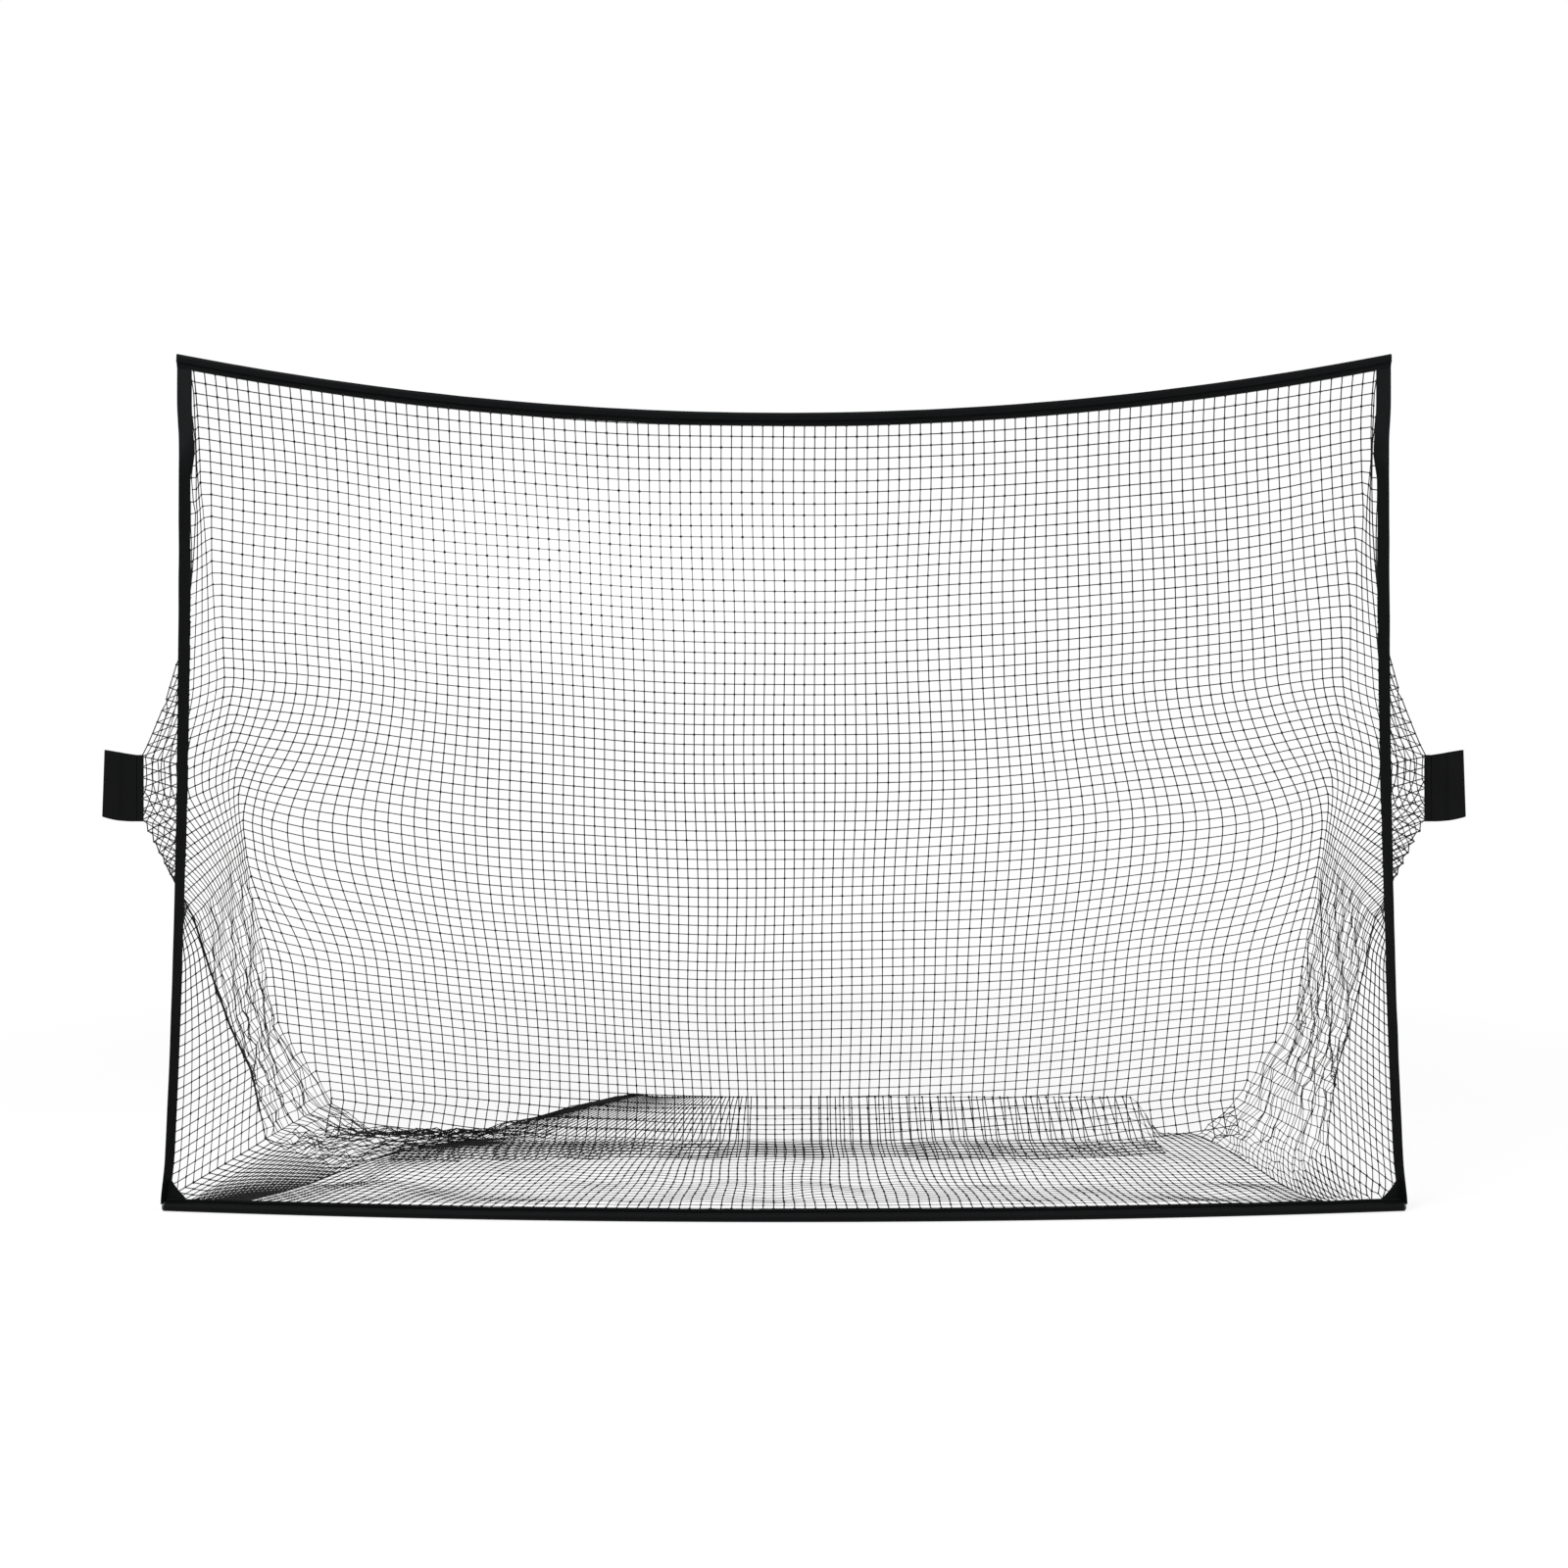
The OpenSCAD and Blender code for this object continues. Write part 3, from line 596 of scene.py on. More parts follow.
def floorGrid():
    # columns run back from the rail; the outer ones are drawn inward on their way to the foot, by
    # an even part of the way v and a late part that grows with v^8, set for each side
    look = floorLook
    u = np.linspace(-1, 1, look["columns"] + 1)[:, None]
    v = np.maximum(np.arange(look["rows"] + 2) - (1 - look["frontGap"]), 0)[None, :]
    v = v / (look["rows"] + look["frontGap"])
    even, late = [np.where(u < 0, *shares) for shares in zip(look["draw"]["left"], look["draw"]["right"])]
    lead = np.clip((np.abs(u) - look["drawFrom"]) / (1 - look["drawFrom"]), 0, 1) ** look["drawPower"]
    x = u * look["half"] - np.sign(u) * lead * (even * v + late * v ** look["late"])
    flat = np.clip(v / look["liftShare"], 0, 1)
    rise = np.clip((v - look["liftShare"]) / (1 - look["liftShare"]), 0, 1) ** look["liftPower"]
    d = mix(railD(x) + bottomR, look["lift"], flat) + (footD + look["pastFoot"] - look["lift"]) * rise
    z = np.where(d < 0, hemTop - look["start"], floorZ(np.maximum(d, 0), hemTop - look["under"]))
    z = z * (1 - ease((x - look["sunkFrom"]) / look["sunkIn"]) * (d > look["sunkBehind"]))
    # wrinkles, away from the hem and the foot, and a long low fold of the drawn columns on the left
    calm = ease(v * look["calm"]) * ease((look["calmTo"] - v) * look["calm"])
    fold = look["hump"] * bump(u, look["humpAt"], look["humpReach"]) * ease(v * 3)
    x = x + look["wrinkle"] * waves(x, d, 0.8, 3, 12, 21) * calm
    z = np.maximum(z + fold + look["wrinkle"] * waves(x, d, 1.5, 5, 12, 22) * calm, look["lowest"])
    return place(x, d, z)


sideLook = dict(
    columns=58, seamRows=(33, 39), extraRows=dict(left=26, right=8),
    # rows and heights at which the net meets the band
    frontRows=((0, 2.098), (36, 1.014), (73, 0.029), (76, 0.010)),
    # the fold above the tab: its foot on the seam, its head between band and crease, and
    # the power with which it falls inward on the way up
    seamIn=0.003, seamEnd=0.004, headShare=0.5, draw=3.0,
    # the fold below the tab: its rows, their distances behind the corners, and on each side
    # their x, their heights and the lowest one's own height
    lowRows=(48, 54, 60, 65, 70, 73), lowD=(0.140, 0.170, 0.200, 0.240, 0.280, 0.300),
    lowX=dict(left=(1.5175, 1.482, 1.441, 1.402, 1.388, 1.376),
              right=(1.5175, 1.497, 1.470, 1.452, 1.446, 1.444)),
    lowZ=(0.710, 0.560, 0.415, 0.300, 0.180), lowest=dict(left=0.100, right=0.090),
    # rows between which the net grows from taut to its full cut, and the slack at the end
    cutRows=(34, 52), spare=dict(left=0.15, right=0.36),
    # length of net that the fold itself takes up, by row, how much of that there is on each
    # side, and how far and which way that pleat stands off where it is fullest
    pleat=((0, 0.0), (40, 0.0), (48, 0.08), (60, 0.12), (67, 0.11), (73, 0.0)),
    pleatShare=dict(left=1, right=0.4), pleatFull=0.12, pleatOut=0.014,
    pleatWay=(-0.5, -0.8, 0.2),
    # past the foot: how fast the rows take the floor's edge, and how they start on the left
    edgePoints=60, edgePower=0.75, startIn=0.055, startRows=(0.12, 0.25),
    # how firmly the knots keep their place, by row, at the tab and at the fold
    firm=((0, 0.2), (18, 0.2), (24, 0.85), (42, 0.85), (52, 0.2)), firmTab=0.9, firmFold=0.5,
    # crumple of the slack net: its size, its first row and length, and where it doubles
    shake=0.0045, shakeRows=(42, 12), shakeMore=(56, 10))


def tabFold(side, k, front, crease):
    # the fold's place at row k: up from the tab its reach falls with a power of the way, to a point
    # between band and crease; down from the tab it passes through the places set for that side
    look = sideLook
    tabTop, tabLow = look["seamRows"]
    apex = mix(front[0], crease[0], look["headShare"])
    high = np.array([seamX + look["seamIn"], tab["back"], tab["z"] + tab["high"] / 2 - look["seamEnd"]])
    low = high - [0, 0, tab["high"] - 2 * look["seamEnd"]]
    up = np.clip((tabTop - k) / tabTop, 0, 1)
    above = mix(high, apex, up[:, None])
    above[:, 0] = apex[0] + (high[0] - apex[0]) * (1 - up) ** look["draw"]
    places = look["lowX"][side], look["lowD"], (*look["lowZ"], look["lowest"][side])
    rows = [tabTop, tabLow, *look["lowRows"]]
    below = [np.interp(k, rows, [high[axis], low[axis], *places[axis]]) for axis in range(3)]
    return np.where((k < tabTop)[:, None], above, np.stack(below, axis=-1))


def columnPlaces(side, k, half):
    # how far along the net each column is cut from the middle, and how far out it lies at each row:
    # the tabs draw it outward by an amount that goes with the row's height, which goes with q itself
    look = wallLook
    label = (np.arange(look["columns"] + sideLook["columns"] + 1) * look["pitch"])[:, None]
    reach, power, early, lost = look["draw"][side]
    q = label + 0.0 * k
    for turn in range(look["drawTurns"]):  # put in again until it settles
        z = cornerH - rowS(q, k, half) * math.cos(slope)
        upper, middle, lower = [ease((top - z) / long) for top, long in look["drawAt"]]
        share = early * upper + (1 - early) * middle - lost * lower
        q = label + reach * share * np.clip(q / look["drawWhole"], 0, 1) ** power
    return label, q


def halfSheet(side, sign, floorNet):
    # the back sheet and the side net on one side of the middle: knot columns lie a whole number of
    # pitches along each row's path, which runs out to the crease, on to the fold and forward to
    # the sleeve; the kind of each knot is 1 on the back, 2 on the flap, 3 on the side, 0 past the cut
    look, back = sideLook, wallLook
    pitch, footRow = back["pitch"], back["footRow"]
    flip = np.array([sign, 1, 1])
    shift = np.array([0, frontY, 0])
    last = footRow + look["extraRows"][side]
    k = np.arange(last + 1)
    half = np.interp(k, *zip(*back["crease"]))
    label, q = columnPlaces(side, k, half)
    s = rowS(q, k, half)
    sheet = backPoint(sign * q, s, half)

    # the crease runs down the back sheet, the front edge down the sleeve, the fold between them
    floorSide = spread((floorNet[-1 if sign > 0 else 0][::-1] - shift) * flip, look["edgePoints"])
    deep = np.minimum(k, footRow)
    halfDeep = np.interp(deep, *zip(*back["crease"]))
    crease = (backPoint(sign * halfDeep, rowS(halfDeep, deep, halfDeep), halfDeep) - shift) * flip
    front = bandNetEdge(np.interp(k, *zip(*look["frontRows"])))
    fold = tabFold(side, k, front, crease)

    # the side net is cut along a column of knots below the tab, so the surplus gathers behind the fold
    fore = np.linalg.norm(front - fold, axis=-1)
    pleat = np.interp(k, *zip(*look["pleat"])) * look["pleatShare"][side]
    shifted = half - (q - label)[back["columns"]]
    taut = shifted + np.linalg.norm(fold - crease, axis=-1) + pleat + fore
    cutFrom, cutTo = look["cutRows"]
    cut = mix(taut, taut[cutTo:footRow].max() + look["spare"][side], ease((k - cutFrom) / (cutTo - cutFrom)))
    rear = cut - shifted - pleat - fore
    far = q - half

    # past the foot, the rows pass over from the path of the last row to the floor's edge
    past = np.clip((k - footRow) / (last - footRow), 0, 1)
    edgeL = np.linalg.norm(np.diff(floorSide, axis=0), axis=1).sum()
    whole = mix(rear + pleat + fore, edgeL, past)
    share = np.clip(far / whole, 0, 1)
    alongRow = np.where(past > 0, share * (rear + pleat + fore), far)
    alongRow = np.where((np.abs(alongRow - rear) < 0.5 * pitch) & (past == 0), rear, alongRow)
    inPleat = np.clip((alongRow - rear) / np.maximum(pleat, 1e-6), 0, 1)
    onRear = np.clip(alongRow / rear, 0, 1)[..., None]
    onFore = np.clip((alongRow - rear - pleat) / fore, 0, 1)[..., None]
    net = np.where((alongRow < rear)[..., None], mix(crease, fold, onRear), mix(fold, front, onFore))
    stand = look["pleatOut"] * (pleat / look["pleatFull"]) * np.sin(math.pi * inPleat)
    net = net + stand[..., None] * look["pleatWay"]
    marks = np.linspace(0, 1, len(floorSide))
    edge = np.stack([np.interp(share, marks, floorSide[:, axis]) for axis in range(3)], axis=-1)
    net = mix(net, edge, (past ** look["edgePower"])[:, None])
    # on the left they start from the ground at the foot of the back sheet
    startIn, startOut = [ease(part / long) for part, long in zip((past, 1 - past), look["startRows"])]
    dip = startIn * startOut * (1 - share) ** 3 * (sign < 0)
    net[..., 1] -= look["startIn"] * dip
    net[..., 2] *= 1 - dip
    net = net * flip + shift
    grid = np.where((far > 0)[..., None], net, sheet)
    flap = flapLook["reach"] + flapLook["uneven"] * waves(q * sign, 0 * q, 0.3, 2.4, 8, 11)
    flap = np.where(q < flapLook["half"], flap, flapLook["sideReach"])
    kind = np.where(far > 0, np.where(far < whole + 0.6 * pitch, 3, 0),
                    np.where(s < footS, 1, np.where(s < footS + flap, 2, 0)))

    # the tab and the sleeve hold the net fast; slack net crumples between them
    tabTop, tabLow = look["seamRows"]
    ends = (far >= whole - 0.4 * pitch) | (k == 0) | (k == last) | (kind != 3)
    atTab = (k >= tabTop - 0.6) & (k <= tabLow + 0.6)
    nearFold = (alongRow > rear - 0.5 * pitch) & (alongRow < rear + pleat + 0.5 * pitch)
    firm = np.interp(k, *zip(*look["firm"])) + 0 * q
    hold = np.where(ends, 1.0, np.where(nearFold, np.where(atTab, look["firmTab"], look["firmFold"]), firm))
    first, long = look["shakeRows"]
    loose = ease((k - first) / long) * (kind == 3) * (alongRow < rear)
    first, long = look["shakeMore"]
    crumple = look["shake"] * waves(q, k * netting["pitch"], 4, 16, 24, 31 if sign > 0 else 32) * loose
    grid = grid + sheetNormals(grid) * (crumple * (1 + ease((k - first) / long)))[..., None]
    linked = (kind == 1) | (kind == 3)
    return relax(grid, kind == 3, linked, hold, [pitch, netting["pitch"]]), kind, loose


floorNet = floorGrid()
leftGrid, leftKind, leftLoose = halfSheet("left", -1, floorNet)
rightGrid, rightKind, rightLoose = halfSheet("right", 1, floorNet)
spare = leftGrid.shape[1] - rightGrid.shape[1]
rightGrid = np.pad(rightGrid, ((0, 0), (0, spare), (0, 0)), mode="edge")
rightKind, rightLoose = [np.pad(values, ((0, 0), (0, spare))) for values in (rightKind, rightLoose)]
grid, kind, tight = [np.concatenate([left[:0:-1], right]) for left, right in (
    (leftGrid, rightGrid), (leftKind, rightKind), (leftLoose, rightLoose))]
links = gridLinks(kind > 0)
ends = kind.ravel()[links]
outer = grid.reshape(-1, 3)[links].mean(axis=1)[:, 0]
onFlap = (ends == 2).any(axis=1) & (ends < 3).all(axis=1)
buildNet("back_netting", grid, kind == 1, links[(ends == 1).all(axis=1)], 41, tight, 1, "back_net")
buildNet("flap_netting", grid, kind == 2, links[onFlap], 42, tight, 1, "back_flap")
for side, sign in sides:
    onSide = (ends == 3).any(axis=1) & (ends != 2).all(axis=1) & (outer * sign > 0)
    buildNet(side + "_side_netting", grid, (kind == 3) & (grid[..., 0] * sign > 0), links[onSide],
             44 + sign, tight, 1, side + "_side_net_front", side + "_side_net_rear")
everywhere = np.ones(floorNet.shape[:2], bool)
buildNet("floor_netting", floorNet, everywhere, gridLinks(everywhere), 43, 0.0 * everywhere, 0.5,
         "floor_net", "floor_ramp")


def arc(x, y, r, start, end, count):
    # points of an arc about (x, y), between two angles in degrees
    a = np.radians(np.linspace(start, end, count))
    return np.stack([x + r * np.cos(a), y + r * np.sin(a)], axis=-1)


def mirrored(half):
    # a closed outline from its one half, which starts and ends on the x axis
    return np.concatenate([half[:-1], (half * [1, -1])[::-1][:-1]])


def sewShell(name, ringsOf, outer, inner, around, length, liningAround=None):
    # a hollow skin from the outer and the inner outline, with cloth coordinates in metres
    skin, lining = ringsOf(*outer), ringsOf(*inner)
    n, m = skin.shape[:2]
    points, faces = tubeOfRings(skin, lining)
    uv = np.concatenate([ringUv(n, m, length, around), ringUv(n, m, length, liningAround or around),
                         np.zeros((8 * m, 2))])
    return makeMesh(name, points, faces, uv)


def tunnelRing(high, deep, hem, cloth, count):
    # a slot with round ends, x down from the top edge, and a flat hem of two layers below it: one
    # half of the outline, which is then mirrored
    r = deep / 2
    neck = math.degrees(math.asin(cloth / r)) if hem else 0.0
    half = [arc(r, 0, r, 180, 270, 10), arc(high - r, 0, r, 270, 360 - neck, 12)]
    if hem:
        half.append(np.array([[high + hem * 0.97, -cloth], [high + hem, -cloth * 0.5], [high + hem, 0.0]]))
    return mirrored(spread(np.concatenate(half), count))


def topPoint(below, fwd, angle):
    # below the top edge along its arc's radius, fwd in front of the slope, at an angle of the arc
    r = topR + below
    return onSlope(r * np.sin(angle), r * np.cos(angle) - (topR - opening["topSag"]), fwd)


# lips: how far the lower edge stops short of the corner, or reaches past it, at each end
topCloth = dict(
    rings=560, ringPoints=30, pucker=0.0007, puckerAt=0.003, puckerL=0.006, slack=0.0006,
    lipLeft=-0.0035, lipRight=-0.0030, flatW=0.090, liningW=0.06)


def topSleeve():
    # the tunnel and its hem, carried along the arc; puckers ripple beside the seam
    look = topCloth
    t = clothT
    high, deep = opening["topTunnelH"], opening["topTunnelT"]
    length = 2 * topHalf * topR
    outline = tunnelRing(high, deep, opening["topHem"], t, look["ringPoints"])
    inner = tunnelRing(high - 2 * t, deep - 2 * t, 0, t, look["ringPoints"]) + [t, 0]
    share = np.linspace(-1, 1, look["rings"])[:, None]
    along = (share + 1) * length / 2
    down = outline[None, :, 0]
    face = np.sign(outline[None, :, 1])
    pucker = look["pucker"] * waves(along, down * 0.6 + face, 14, 45, 16, 51)
    pucker = pucker * bump(down, high - look["puckerAt"], look["puckerL"])
    slack = look["slack"] * waves(along, down, 2, 9, 10, 52)

    def ringsOf(ring, ripple):
        # both ends stand upright, and reach a little further below the corner
        below, fwd = ring[None, :, 0], ring[None, :, 1]
        lip = np.where(share < 0, look["lipLeft"], look["lipRight"]) * ease(below / topBand)
        angle = share * np.arcsin((cornerW / 2 - lip) / (topR + below))
        return topPoint(below + 0 * share, fwd + ripple + slack, angle)

    piece = sewShell("top_sleeve_cloth", ringsOf, (outline, pucker * face), (inner, 0), look["flatW"],
                     length, look["liningW"])
    finishPiece(piece, "net", "sleeve_cloth", sleeveCloth, "top_sleeve")


ropeMake = dict(rings=1300, ringPoints=12, radius=0.005, core=0.0012, inset=0.006, braid=0.04, turns=52.0)


def edgeRope():
    # a braided tube in the top of the tunnel: its radius swells with the product of two sines that
    # wind round it in opposite ways
    look = ropeMake
    share = np.linspace(-1, 1, look["rings"])[:, None]
    angle = share * (topHalf - look["inset"] / topR)
    around = np.arange(look["ringPoints"])[None, :] / look["ringPoints"] * 2 * math.pi
    wind = 2 * math.pi * look["turns"] * share * topHalf * topR / 2
    middle = clothT + seat + look["radius"]
    braid = np.sin(2 * around + wind) * np.sin(2 * around - wind)

    def ringsOf(r):
        return topPoint(middle + r * np.cos(around), r * np.sin(around), angle)

    points, faces = tubeOfRings(ringsOf(look["radius"] * (1 + look["braid"] * braid)),
                                ringsOf(look["core"] + 0 * braid))
    piece = makeMesh("top_edge_rope_braid", points, faces)
    finishPiece(piece, "net", "edge_rope", ropeCover, "top_edge_rope")


def railPoint(out, up, share):
    # out from the rail's middle line (forward is positive), up from it, at a share of its half arc
    angle = share * baseHalf
    r = baseR + out
    return place(r * np.sin(angle), baseR - opening["baseBow"] - r * np.cos(angle), railZ + up)


# longer: how far the sleeve reaches along the rail's arc, as a share of it; its puckers set in on
# the hem above hemFrom, over hemIn; it is slack above slackFrom; turn: what the ripples count as the
# way once round
bottomCloth = dict(
    rings=560, ringPoints=44, pucker=0.0006, slack=0.0004, flatW=0.100, liningW=0.06,
    longer=1.002, hemFrom=0.002, hemIn=0.008, slackFrom=-0.004, turn=0.02)


def bottomSleeve():
    # a round tunnel with a flat hem standing up behind it, carried along the rail's arc
    look = bottomCloth
    m = look["ringPoints"]
    t = clothT
    length = 2 * baseHalf * baseR * look["longer"]
    high = opening["bottomHem"]
    root = math.degrees(math.acos(-(bottomR - 2 * t) / bottomR))
    hem = [[-bottomR + 2 * t, high - t * 0.6], [-bottomR + 1.6 * t, high], [-bottomR + 0.4 * t, high],
           [-bottomR, high - t * 0.6], [-bottomR, 0.0]]
    outline = spread(np.concatenate([arc(0, 0, bottomR, -180, root, 60), hem]), m + 1)[:-1]
    inner = spread(arc(0, 0, bottomR - t, -180, 180, 60), m + 1)[:-1]
    share = np.linspace(-1, 1, look["rings"])[:, None] * look["longer"]
    along = (share + 1) * length / 2
    turn = np.arange(m)[None, :] / m * look["turn"]
    out, up = outline[None, :, 0], outline[None, :, 1]
    onHem = ease((up - look["hemFrom"]) / look["hemIn"]) * (out < 0)
    pucker = look["pucker"] * waves(along, turn, 8, 34, 16, 61) * onHem
    slack = look["slack"] * waves(along, turn, 2, 8, 10, 62) * (up > look["slackFrom"])

    def ringsOf(ring, outward, upward):
        return railPoint(ring[None, :, 0] + outward, ring[None, :, 1] + upward, share)

    piece = sewShell("bottom_sleeve_cloth", ringsOf, (outline, pucker, slack),
                     (inner, 0 * share, 0 * share), look["flatW"], length, look["liningW"])
    finishPiece(piece, "net", "sleeve_cloth", sleeveCloth, "bottom_sleeve")


def bandRing(half, thick, count):
    # a flat oval, half wide and thick deep to each side: the square roots of the cosine and the sine
    t = np.arange(count) / count * 2 * math.pi
    x = np.sign(np.cos(t)) * np.abs(np.cos(t)) ** 0.5
    y = np.sign(np.sin(t)) * np.abs(np.sin(t)) ** 0.5
    return np.stack([x * half, y * thick], axis=-1)


def sideBand(side, sign):
    # the oval, carried up the band's middle line and turned with its twist; both ends are tucked
    # behind the hems that they meet
    m = band["ringPoints"]
    z = np.linspace(bandBottomZ - band["tuck"], cornerH, band["rings"])[:, None]
    a = bandAngle(z)
    t = clothT

    def ringsOf(ring):
        across, through = ring[None, :, 0], ring[None, :, 1]
        calm = 1 - (across / bandW * 2) ** 2 * band["calmEdge"]
        through = through + band["ripple"] * waves(z, across * 2, 1.5, 10, 12, 71 + sign) * calm
        x = bandX(z) + across * np.cos(a) - through * np.sin(a)
        d = bandD + across * np.sin(a) + through * np.cos(a)
        lid = cornerH - (edgeS(x, topBand) - band["tuck"]) * math.cos(slope)
        return place(sign * x, d, np.minimum(z, lid))

    length = cornerH - bandBottomZ
    piece = sewShell(side + "_sleeve_cloth", ringsOf, [bandRing(bandW / 2, t, m)],
                     [bandRing(bandW / 2 - t, band["gap"], m)], 2 * bandW, length)
    finishPiece(piece, "net", "sleeve_cloth", sleeveCloth, side + "_sleeve")


# low: its lower edge, behind the hem; back and backUp: how far behind the rail it lies there and
# above; outer and inner: half width and thickness of both outlines, as shares of its own
gussetCloth = dict(
    rings=24, ringPoints=28, leg=0.044, low=0.011, curve=1.25, back=0.0135, backUp=0.006,
    inBand=0.004, over=0.003, ripple=0.0008, outer=(0.5, 1.0), inner=(0.46, 0.1))


def cornerGusset(side, sign):
    # a patch between the band and the hem: at each height it runs from the band's middle to a line
    # that leans inward with the power curve of the way down, and it passes behind the hem below
    look = gussetCloth
    m = look["ringPoints"]
    t = clothT
    z = np.linspace(look["low"], bandBottomZ + look["leg"], look["rings"])[:, None]
    down = np.clip((bandBottomZ + look["leg"] - z) / look["leg"], 0, 1) ** look["curve"]
    start = bandX(z)
    reach = start - bandNetEdge(z)[..., 0] + look["over"] + look["leg"] * down
    a = bandD + look["inBand"]
    b = railD(start - reach) + look["back"] + look["backUp"] * (1 - down)

    def ringsOf(ring):
        share = ring[None, :, 0] + 0.5
        x = start - reach * share
        ripple = look["ripple"] * waves(x * 4, z * 4, 2, 9, 8, 91 + sign)
        return place(sign * x, mix(a, b, share) + ring[None, :, 1] * t + ripple, z)

    piece = sewShell(side + "_corner_gusset_cloth", ringsOf, [bandRing(*look["outer"], m)],
                     [bandRing(*look["inner"], m)], 2 * look["leg"], 2 * look["leg"])
    finishPiece(piece, "net", "sleeve_cloth", sleeveCloth, side + "_corner_gusset")


topSleeve()
edgeRope()
bottomSleeve()
for side, sign in sides:
    sideBand(side, sign)
    cornerGusset(side, sign)
print("sleeves sewn")


def atSeam(sign, out, off, up):
    # out along the tab from the seam's point, off to its side, and up
    a = math.radians(tab["turn"])
    along = np.array([sign * math.cos(a), math.sin(a), 0.0])
    across = np.array([-sign * math.sin(a), math.cos(a), 0.0])
    origin = np.array([sign * seamX, tab["back"] + frontY, tab["z"]])
    out, off, up = [values[..., None] for values in np.broadcast_arrays(out, off, up)]
    return origin + out * along + off * across + up * [0, 0, 1.0]


# hinge: from the seam's point to the axis; rise and lean: of the outer end; roll: the inner edge's
# radius; neck: the length over which the flat part opens into the pocket
tabMake = dict(
    rings=44, ringPoints=80, hinge=0.0166591, belly=0.0016, bellyIn=0.03, bellyFrom=0.002,
    rise=0.013, lean=0.006, roll=0.0016, neck=0.004, neckPast=0.003, least=0.00005)


def poleTab(side, sign):
    # a flat two-layer part with a rolled inner edge that opens into a flattened pocket; its lower
    # edge dips in the middle along an arc, and its cloth bellies a little
    look = tabMake
    t, neck = clothT, look["neck"]
    l0, l1 = tab["long"] - tab["pocket"], tab["long"]
    r = tab["gap"] / 2 + t
    flat = [[neck, -t], [l0 - neck, -t], [l0 + look["neckPast"], -0.6 * r]]
    half = np.concatenate([arc(0, 0, look["roll"], 180, 270, 6), flat,
                           arc(l0 + r + neck, 0, r, 240, 270, 4), arc(l1 - r, 0, r, 270, 360, 10)])
    outline = mirrored(spread(half, look["ringPoints"] // 2 + 1))
    deep = np.maximum(np.abs(outline[:, 1]) - t, look["least"])
    inside = np.stack([np.clip(outline[:, 0], 0.001, l1 - t), np.sign(outline[:, 1]) * deep], axis=-1)
    inside[np.argmax(outline[:, 0]), 1] = 0.0
    v = np.linspace(0, 1, look["rings"])[:, None]
    dropR = arcRadius(tab["long"], tab["drop"])

    def ringsOf(ring):
        l = ring[None, :, 0]
        lower = -tab["high"] / 2 - tab["drop"] + dropR - np.sqrt(dropR ** 2 - (l - l1 / 2) ** 2)
        z = mix(lower, tab["high"] / 2, v)
        free = ease(np.minimum(l + look["bellyFrom"], l1 - l) / look["bellyIn"])
        off = ring[None, :, 1] + look["belly"] * waves(l + 0 * z, z, 3, 9, 8, 81 + sign) * free
        out = look["hinge"] + l - look["lean"] * (z / tab["high"]) * l / l1
        z = z + look["rise"] * l / l1
        return atSeam(sign, out, off, z)

    piece = sewShell(side + "_pole_tab_cloth", ringsOf, [outline], [inside], 2 * tab["long"], tab["high"])
    finishPiece(piece, side + "_tab", "tab_cloth", tabCloth, side + "_pole_tab")


# start: from the seam's point to the strip; inner: how much wider it is on the net's side
seamMake = dict(
    rings=40, ringPoints=24, start=0.0031591, inner=0.005, uneven=0.0003,
    stitch=0.004, stitchW=0.0012, stitchIn=0.12)


def tabSeam(side, sign):
    # the folded strip that holds the net's edge: a flat oval carried up the seam, dimpled along
    # its middle where the stitches draw it in
    look = seamMake
    m = look["ringPoints"]
    t = clothT
    z = np.linspace(-tab["high"] / 2, tab["high"] / 2, look["rings"])[:, None]
    wide = tab["seam"] + look["inner"]
    middle = look["start"] + tab["seam"] - wide / 2

    def ringsOf(ring):
        l, through = ring[None, :, 0], ring[None, :, 1]
        dimple = bump(l, 0.0, look["stitchW"]) * (1 + np.sin(2 * math.pi * z / look["stitch"])) / 2
        uneven = look["uneven"] * waves(l * 3, z, 6, 24, 8, 95 + sign)
        off = through * (1 - look["stitchIn"] * dimple) + uneven
        return atSeam(sign, middle + l, off, z)

    piece = sewShell(side + "_tab_seam_cloth", ringsOf, [bandRing(wide / 2, 2 * t, m)],
                     [bandRing(wide / 2 - t, t, m)], 2 * wide, tab["high"])
    finishPiece(piece, "net", "tab_cloth", tabCloth, side + "_tab_seam")


for side, sign in sides:
    poleTab(side, sign)
    tabSeam(side, sign)
print("tabs sewn")

# The base rail keeps its CAD shape and gets its finishes
finishes = dict(
    base_tube_left=steel, base_tube_center=steel, base_tube_right=steel,
    base_ferrule_left=steel, base_ferrule_right=steel,
    base_bushing_left=bushingPlastic, base_bushing_right=bushingPlastic)
for nodeName, finish in finishes.items():
    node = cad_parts[nodeName]
    for slot in node.material_slots:
        slot.material = finish
    if not len(node.material_slots):
        node.data.materials.append(finish)
print("rail finished")


# The studio: a pale floor whose shadow fades out between two distances, two soft boxes, and the
# camera at its height and distance in front of the corners, with its focal length in pixels
studio = dict(
    floorSize=60.0, floorAt=-0.0005, floorColor=(0.9, 0.9, 0.9, 1), shadowKept=0.22,
    shadowFrom=1.6, shadowTo=3.6, worldLight=0.55, aim=(0, 0, 0.9),
    key=dict(at=(-2.2, -3.4, 4.2), size=(3.0, 2.0), power=260.0),
    fill=dict(at=(3.4, -2.6, 2.6), size=(2.6, 2.6), power=90.0),
    cameraBack=4.4, cameraUp=1.355, focal=1804.0, imageSide=1600.0, horizon=680.0, sensor=36.0)


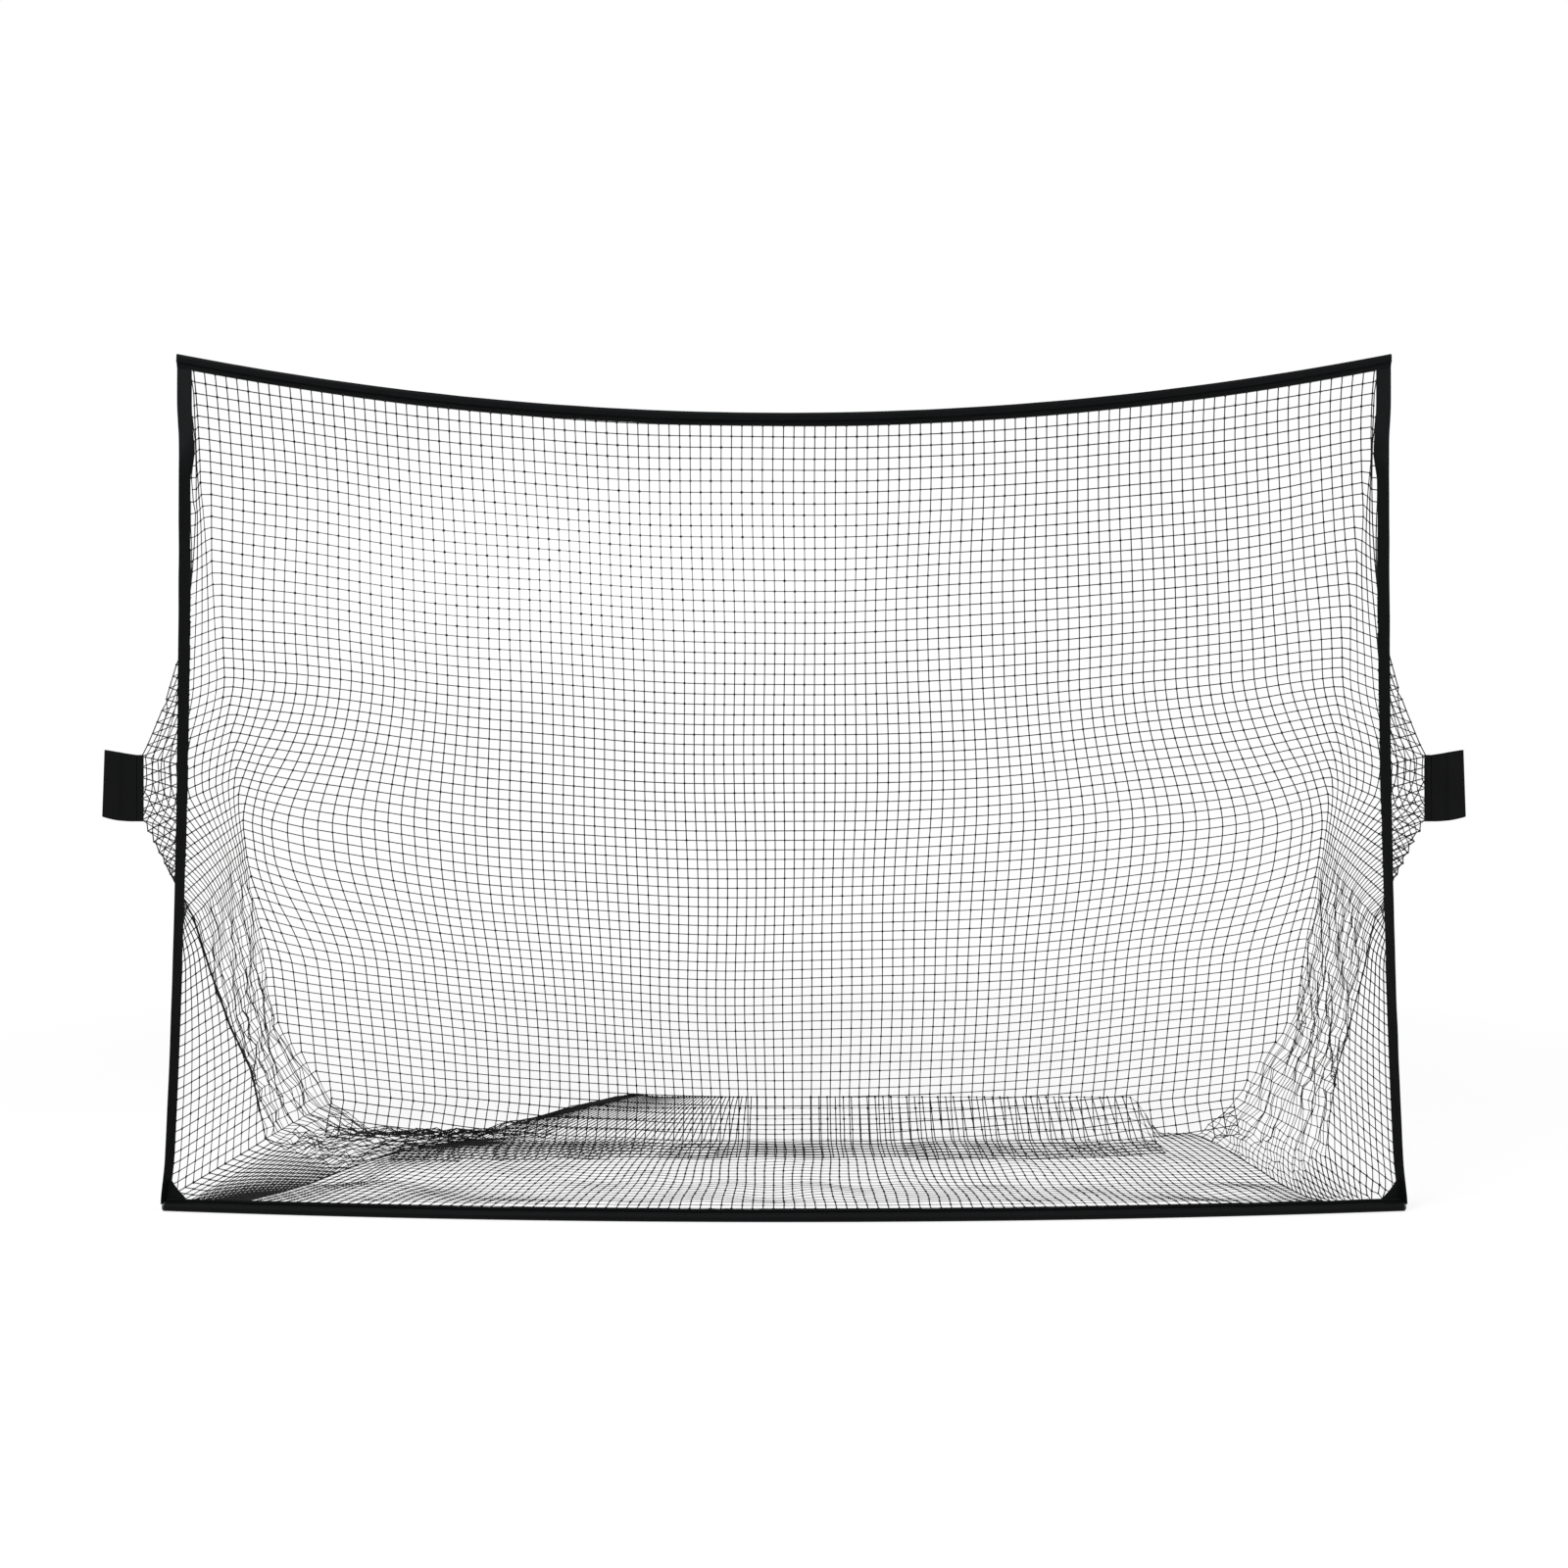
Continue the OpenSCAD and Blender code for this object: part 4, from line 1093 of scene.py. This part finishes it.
def seenDirectly(nodes):
    # 1 for rays from the camera, from a mirror or through glass, else 0
    camera, glossy, through = [nodes.node("LightPath", output=ray) for ray in (
        "Is Camera Ray", "Is Glossy Ray", "Is Transmission Ray")]
    return camera.math("MAXIMUM", camera, glossy.math("MAXIMUM", glossy, through))


def studioFloor():
    # white where it is seen directly, except for the share of its shaded colour that is kept near
    # the middle and fades to nothing further out
    bpy.ops.mesh.primitive_plane_add(size=studio["floorSize"], location=(0, 0, studio["floorAt"]))
    plane = bpy.context.object
    plane.name = "studio_floor"
    f = Finish("studio floor")
    away = f.node("VectorMath", dict(operation="LENGTH"), {0: f.here}, 1)
    keep = f.node("MapRange", None, {0: away, 1: studio["shadowFrom"], 2: studio["shadowTo"],
                                     3: studio["shadowKept"], 4: 0.0})
    f.set(Base_Color=studio["floorColor"], Roughness=0.95, Specular_IOR_Level=0.0)
    glow = f.node("Emission", None, dict(Color=(1, 1, 1, 1), Strength=1.0))
    lit = Val(f.tree, f.shader.outputs[0])
    mixed = f.node("MixShader", None, {0: seenDirectly(f) * (1 - keep), 1: lit, 2: glow})
    f.give(f.tree.nodes["Material Output"].inputs[0], mixed)
    plane.data.materials.append(f.material)


def studioWorld():
    # worldLight on the object, and 1 where the world is seen directly
    world = bpy.data.worlds.new("studio")
    world.use_nodes = True
    bpy.context.scene.world = world
    sky = Nodes(world.node_tree)
    strength = seenDirectly(sky) * (1 - studio["worldLight"]) + studio["worldLight"]
    for key, value in dict(Color=(1, 1, 1, 1), Strength=strength).items():
        sky.give(sky.tree.nodes["Background"].inputs[key], value)


def softBox(name):
    # a rectangular lamp at its place, turned to the point that all lamps aim at
    look = studio[name]
    lamp = bpy.data.lights.new(name, "AREA")
    lamp.shape = "RECTANGLE"
    lamp.size, lamp.size_y = look["size"]
    lamp.energy = look["power"]
    lampObject = addObject(name, lamp)
    lampObject.location = look["at"]
    way = Vector(studio["aim"]) - Vector(look["at"])
    lampObject.rotation_euler = way.to_track_quat("-Z", "Y").to_euler()
    lampObject.visible_camera = False


def studioCamera():
    # level, with the horizon on its own line of the picture by a small shift
    cam = bpy.data.cameras.new("camera")
    cam.sensor_width = studio["sensor"]
    cam.lens = studio["sensor"] * studio["focal"] / studio["imageSide"]
    cam.shift_y = (studio["horizon"] - studio["imageSide"] / 2) / studio["imageSide"]
    cam.clip_end = 200.0
    camObject = addObject("camera", cam)
    camObject.location = (0, frontY - studio["cameraBack"], studio["cameraUp"])
    camObject.rotation_euler = (math.pi / 2, 0, 0)
    bpy.context.scene.camera = camObject


studioFloor()
studioWorld()
softBox("key")
softBox("fill")
studioCamera()
bpy.context.scene.view_settings.view_transform = "Standard"
print("studio lit")
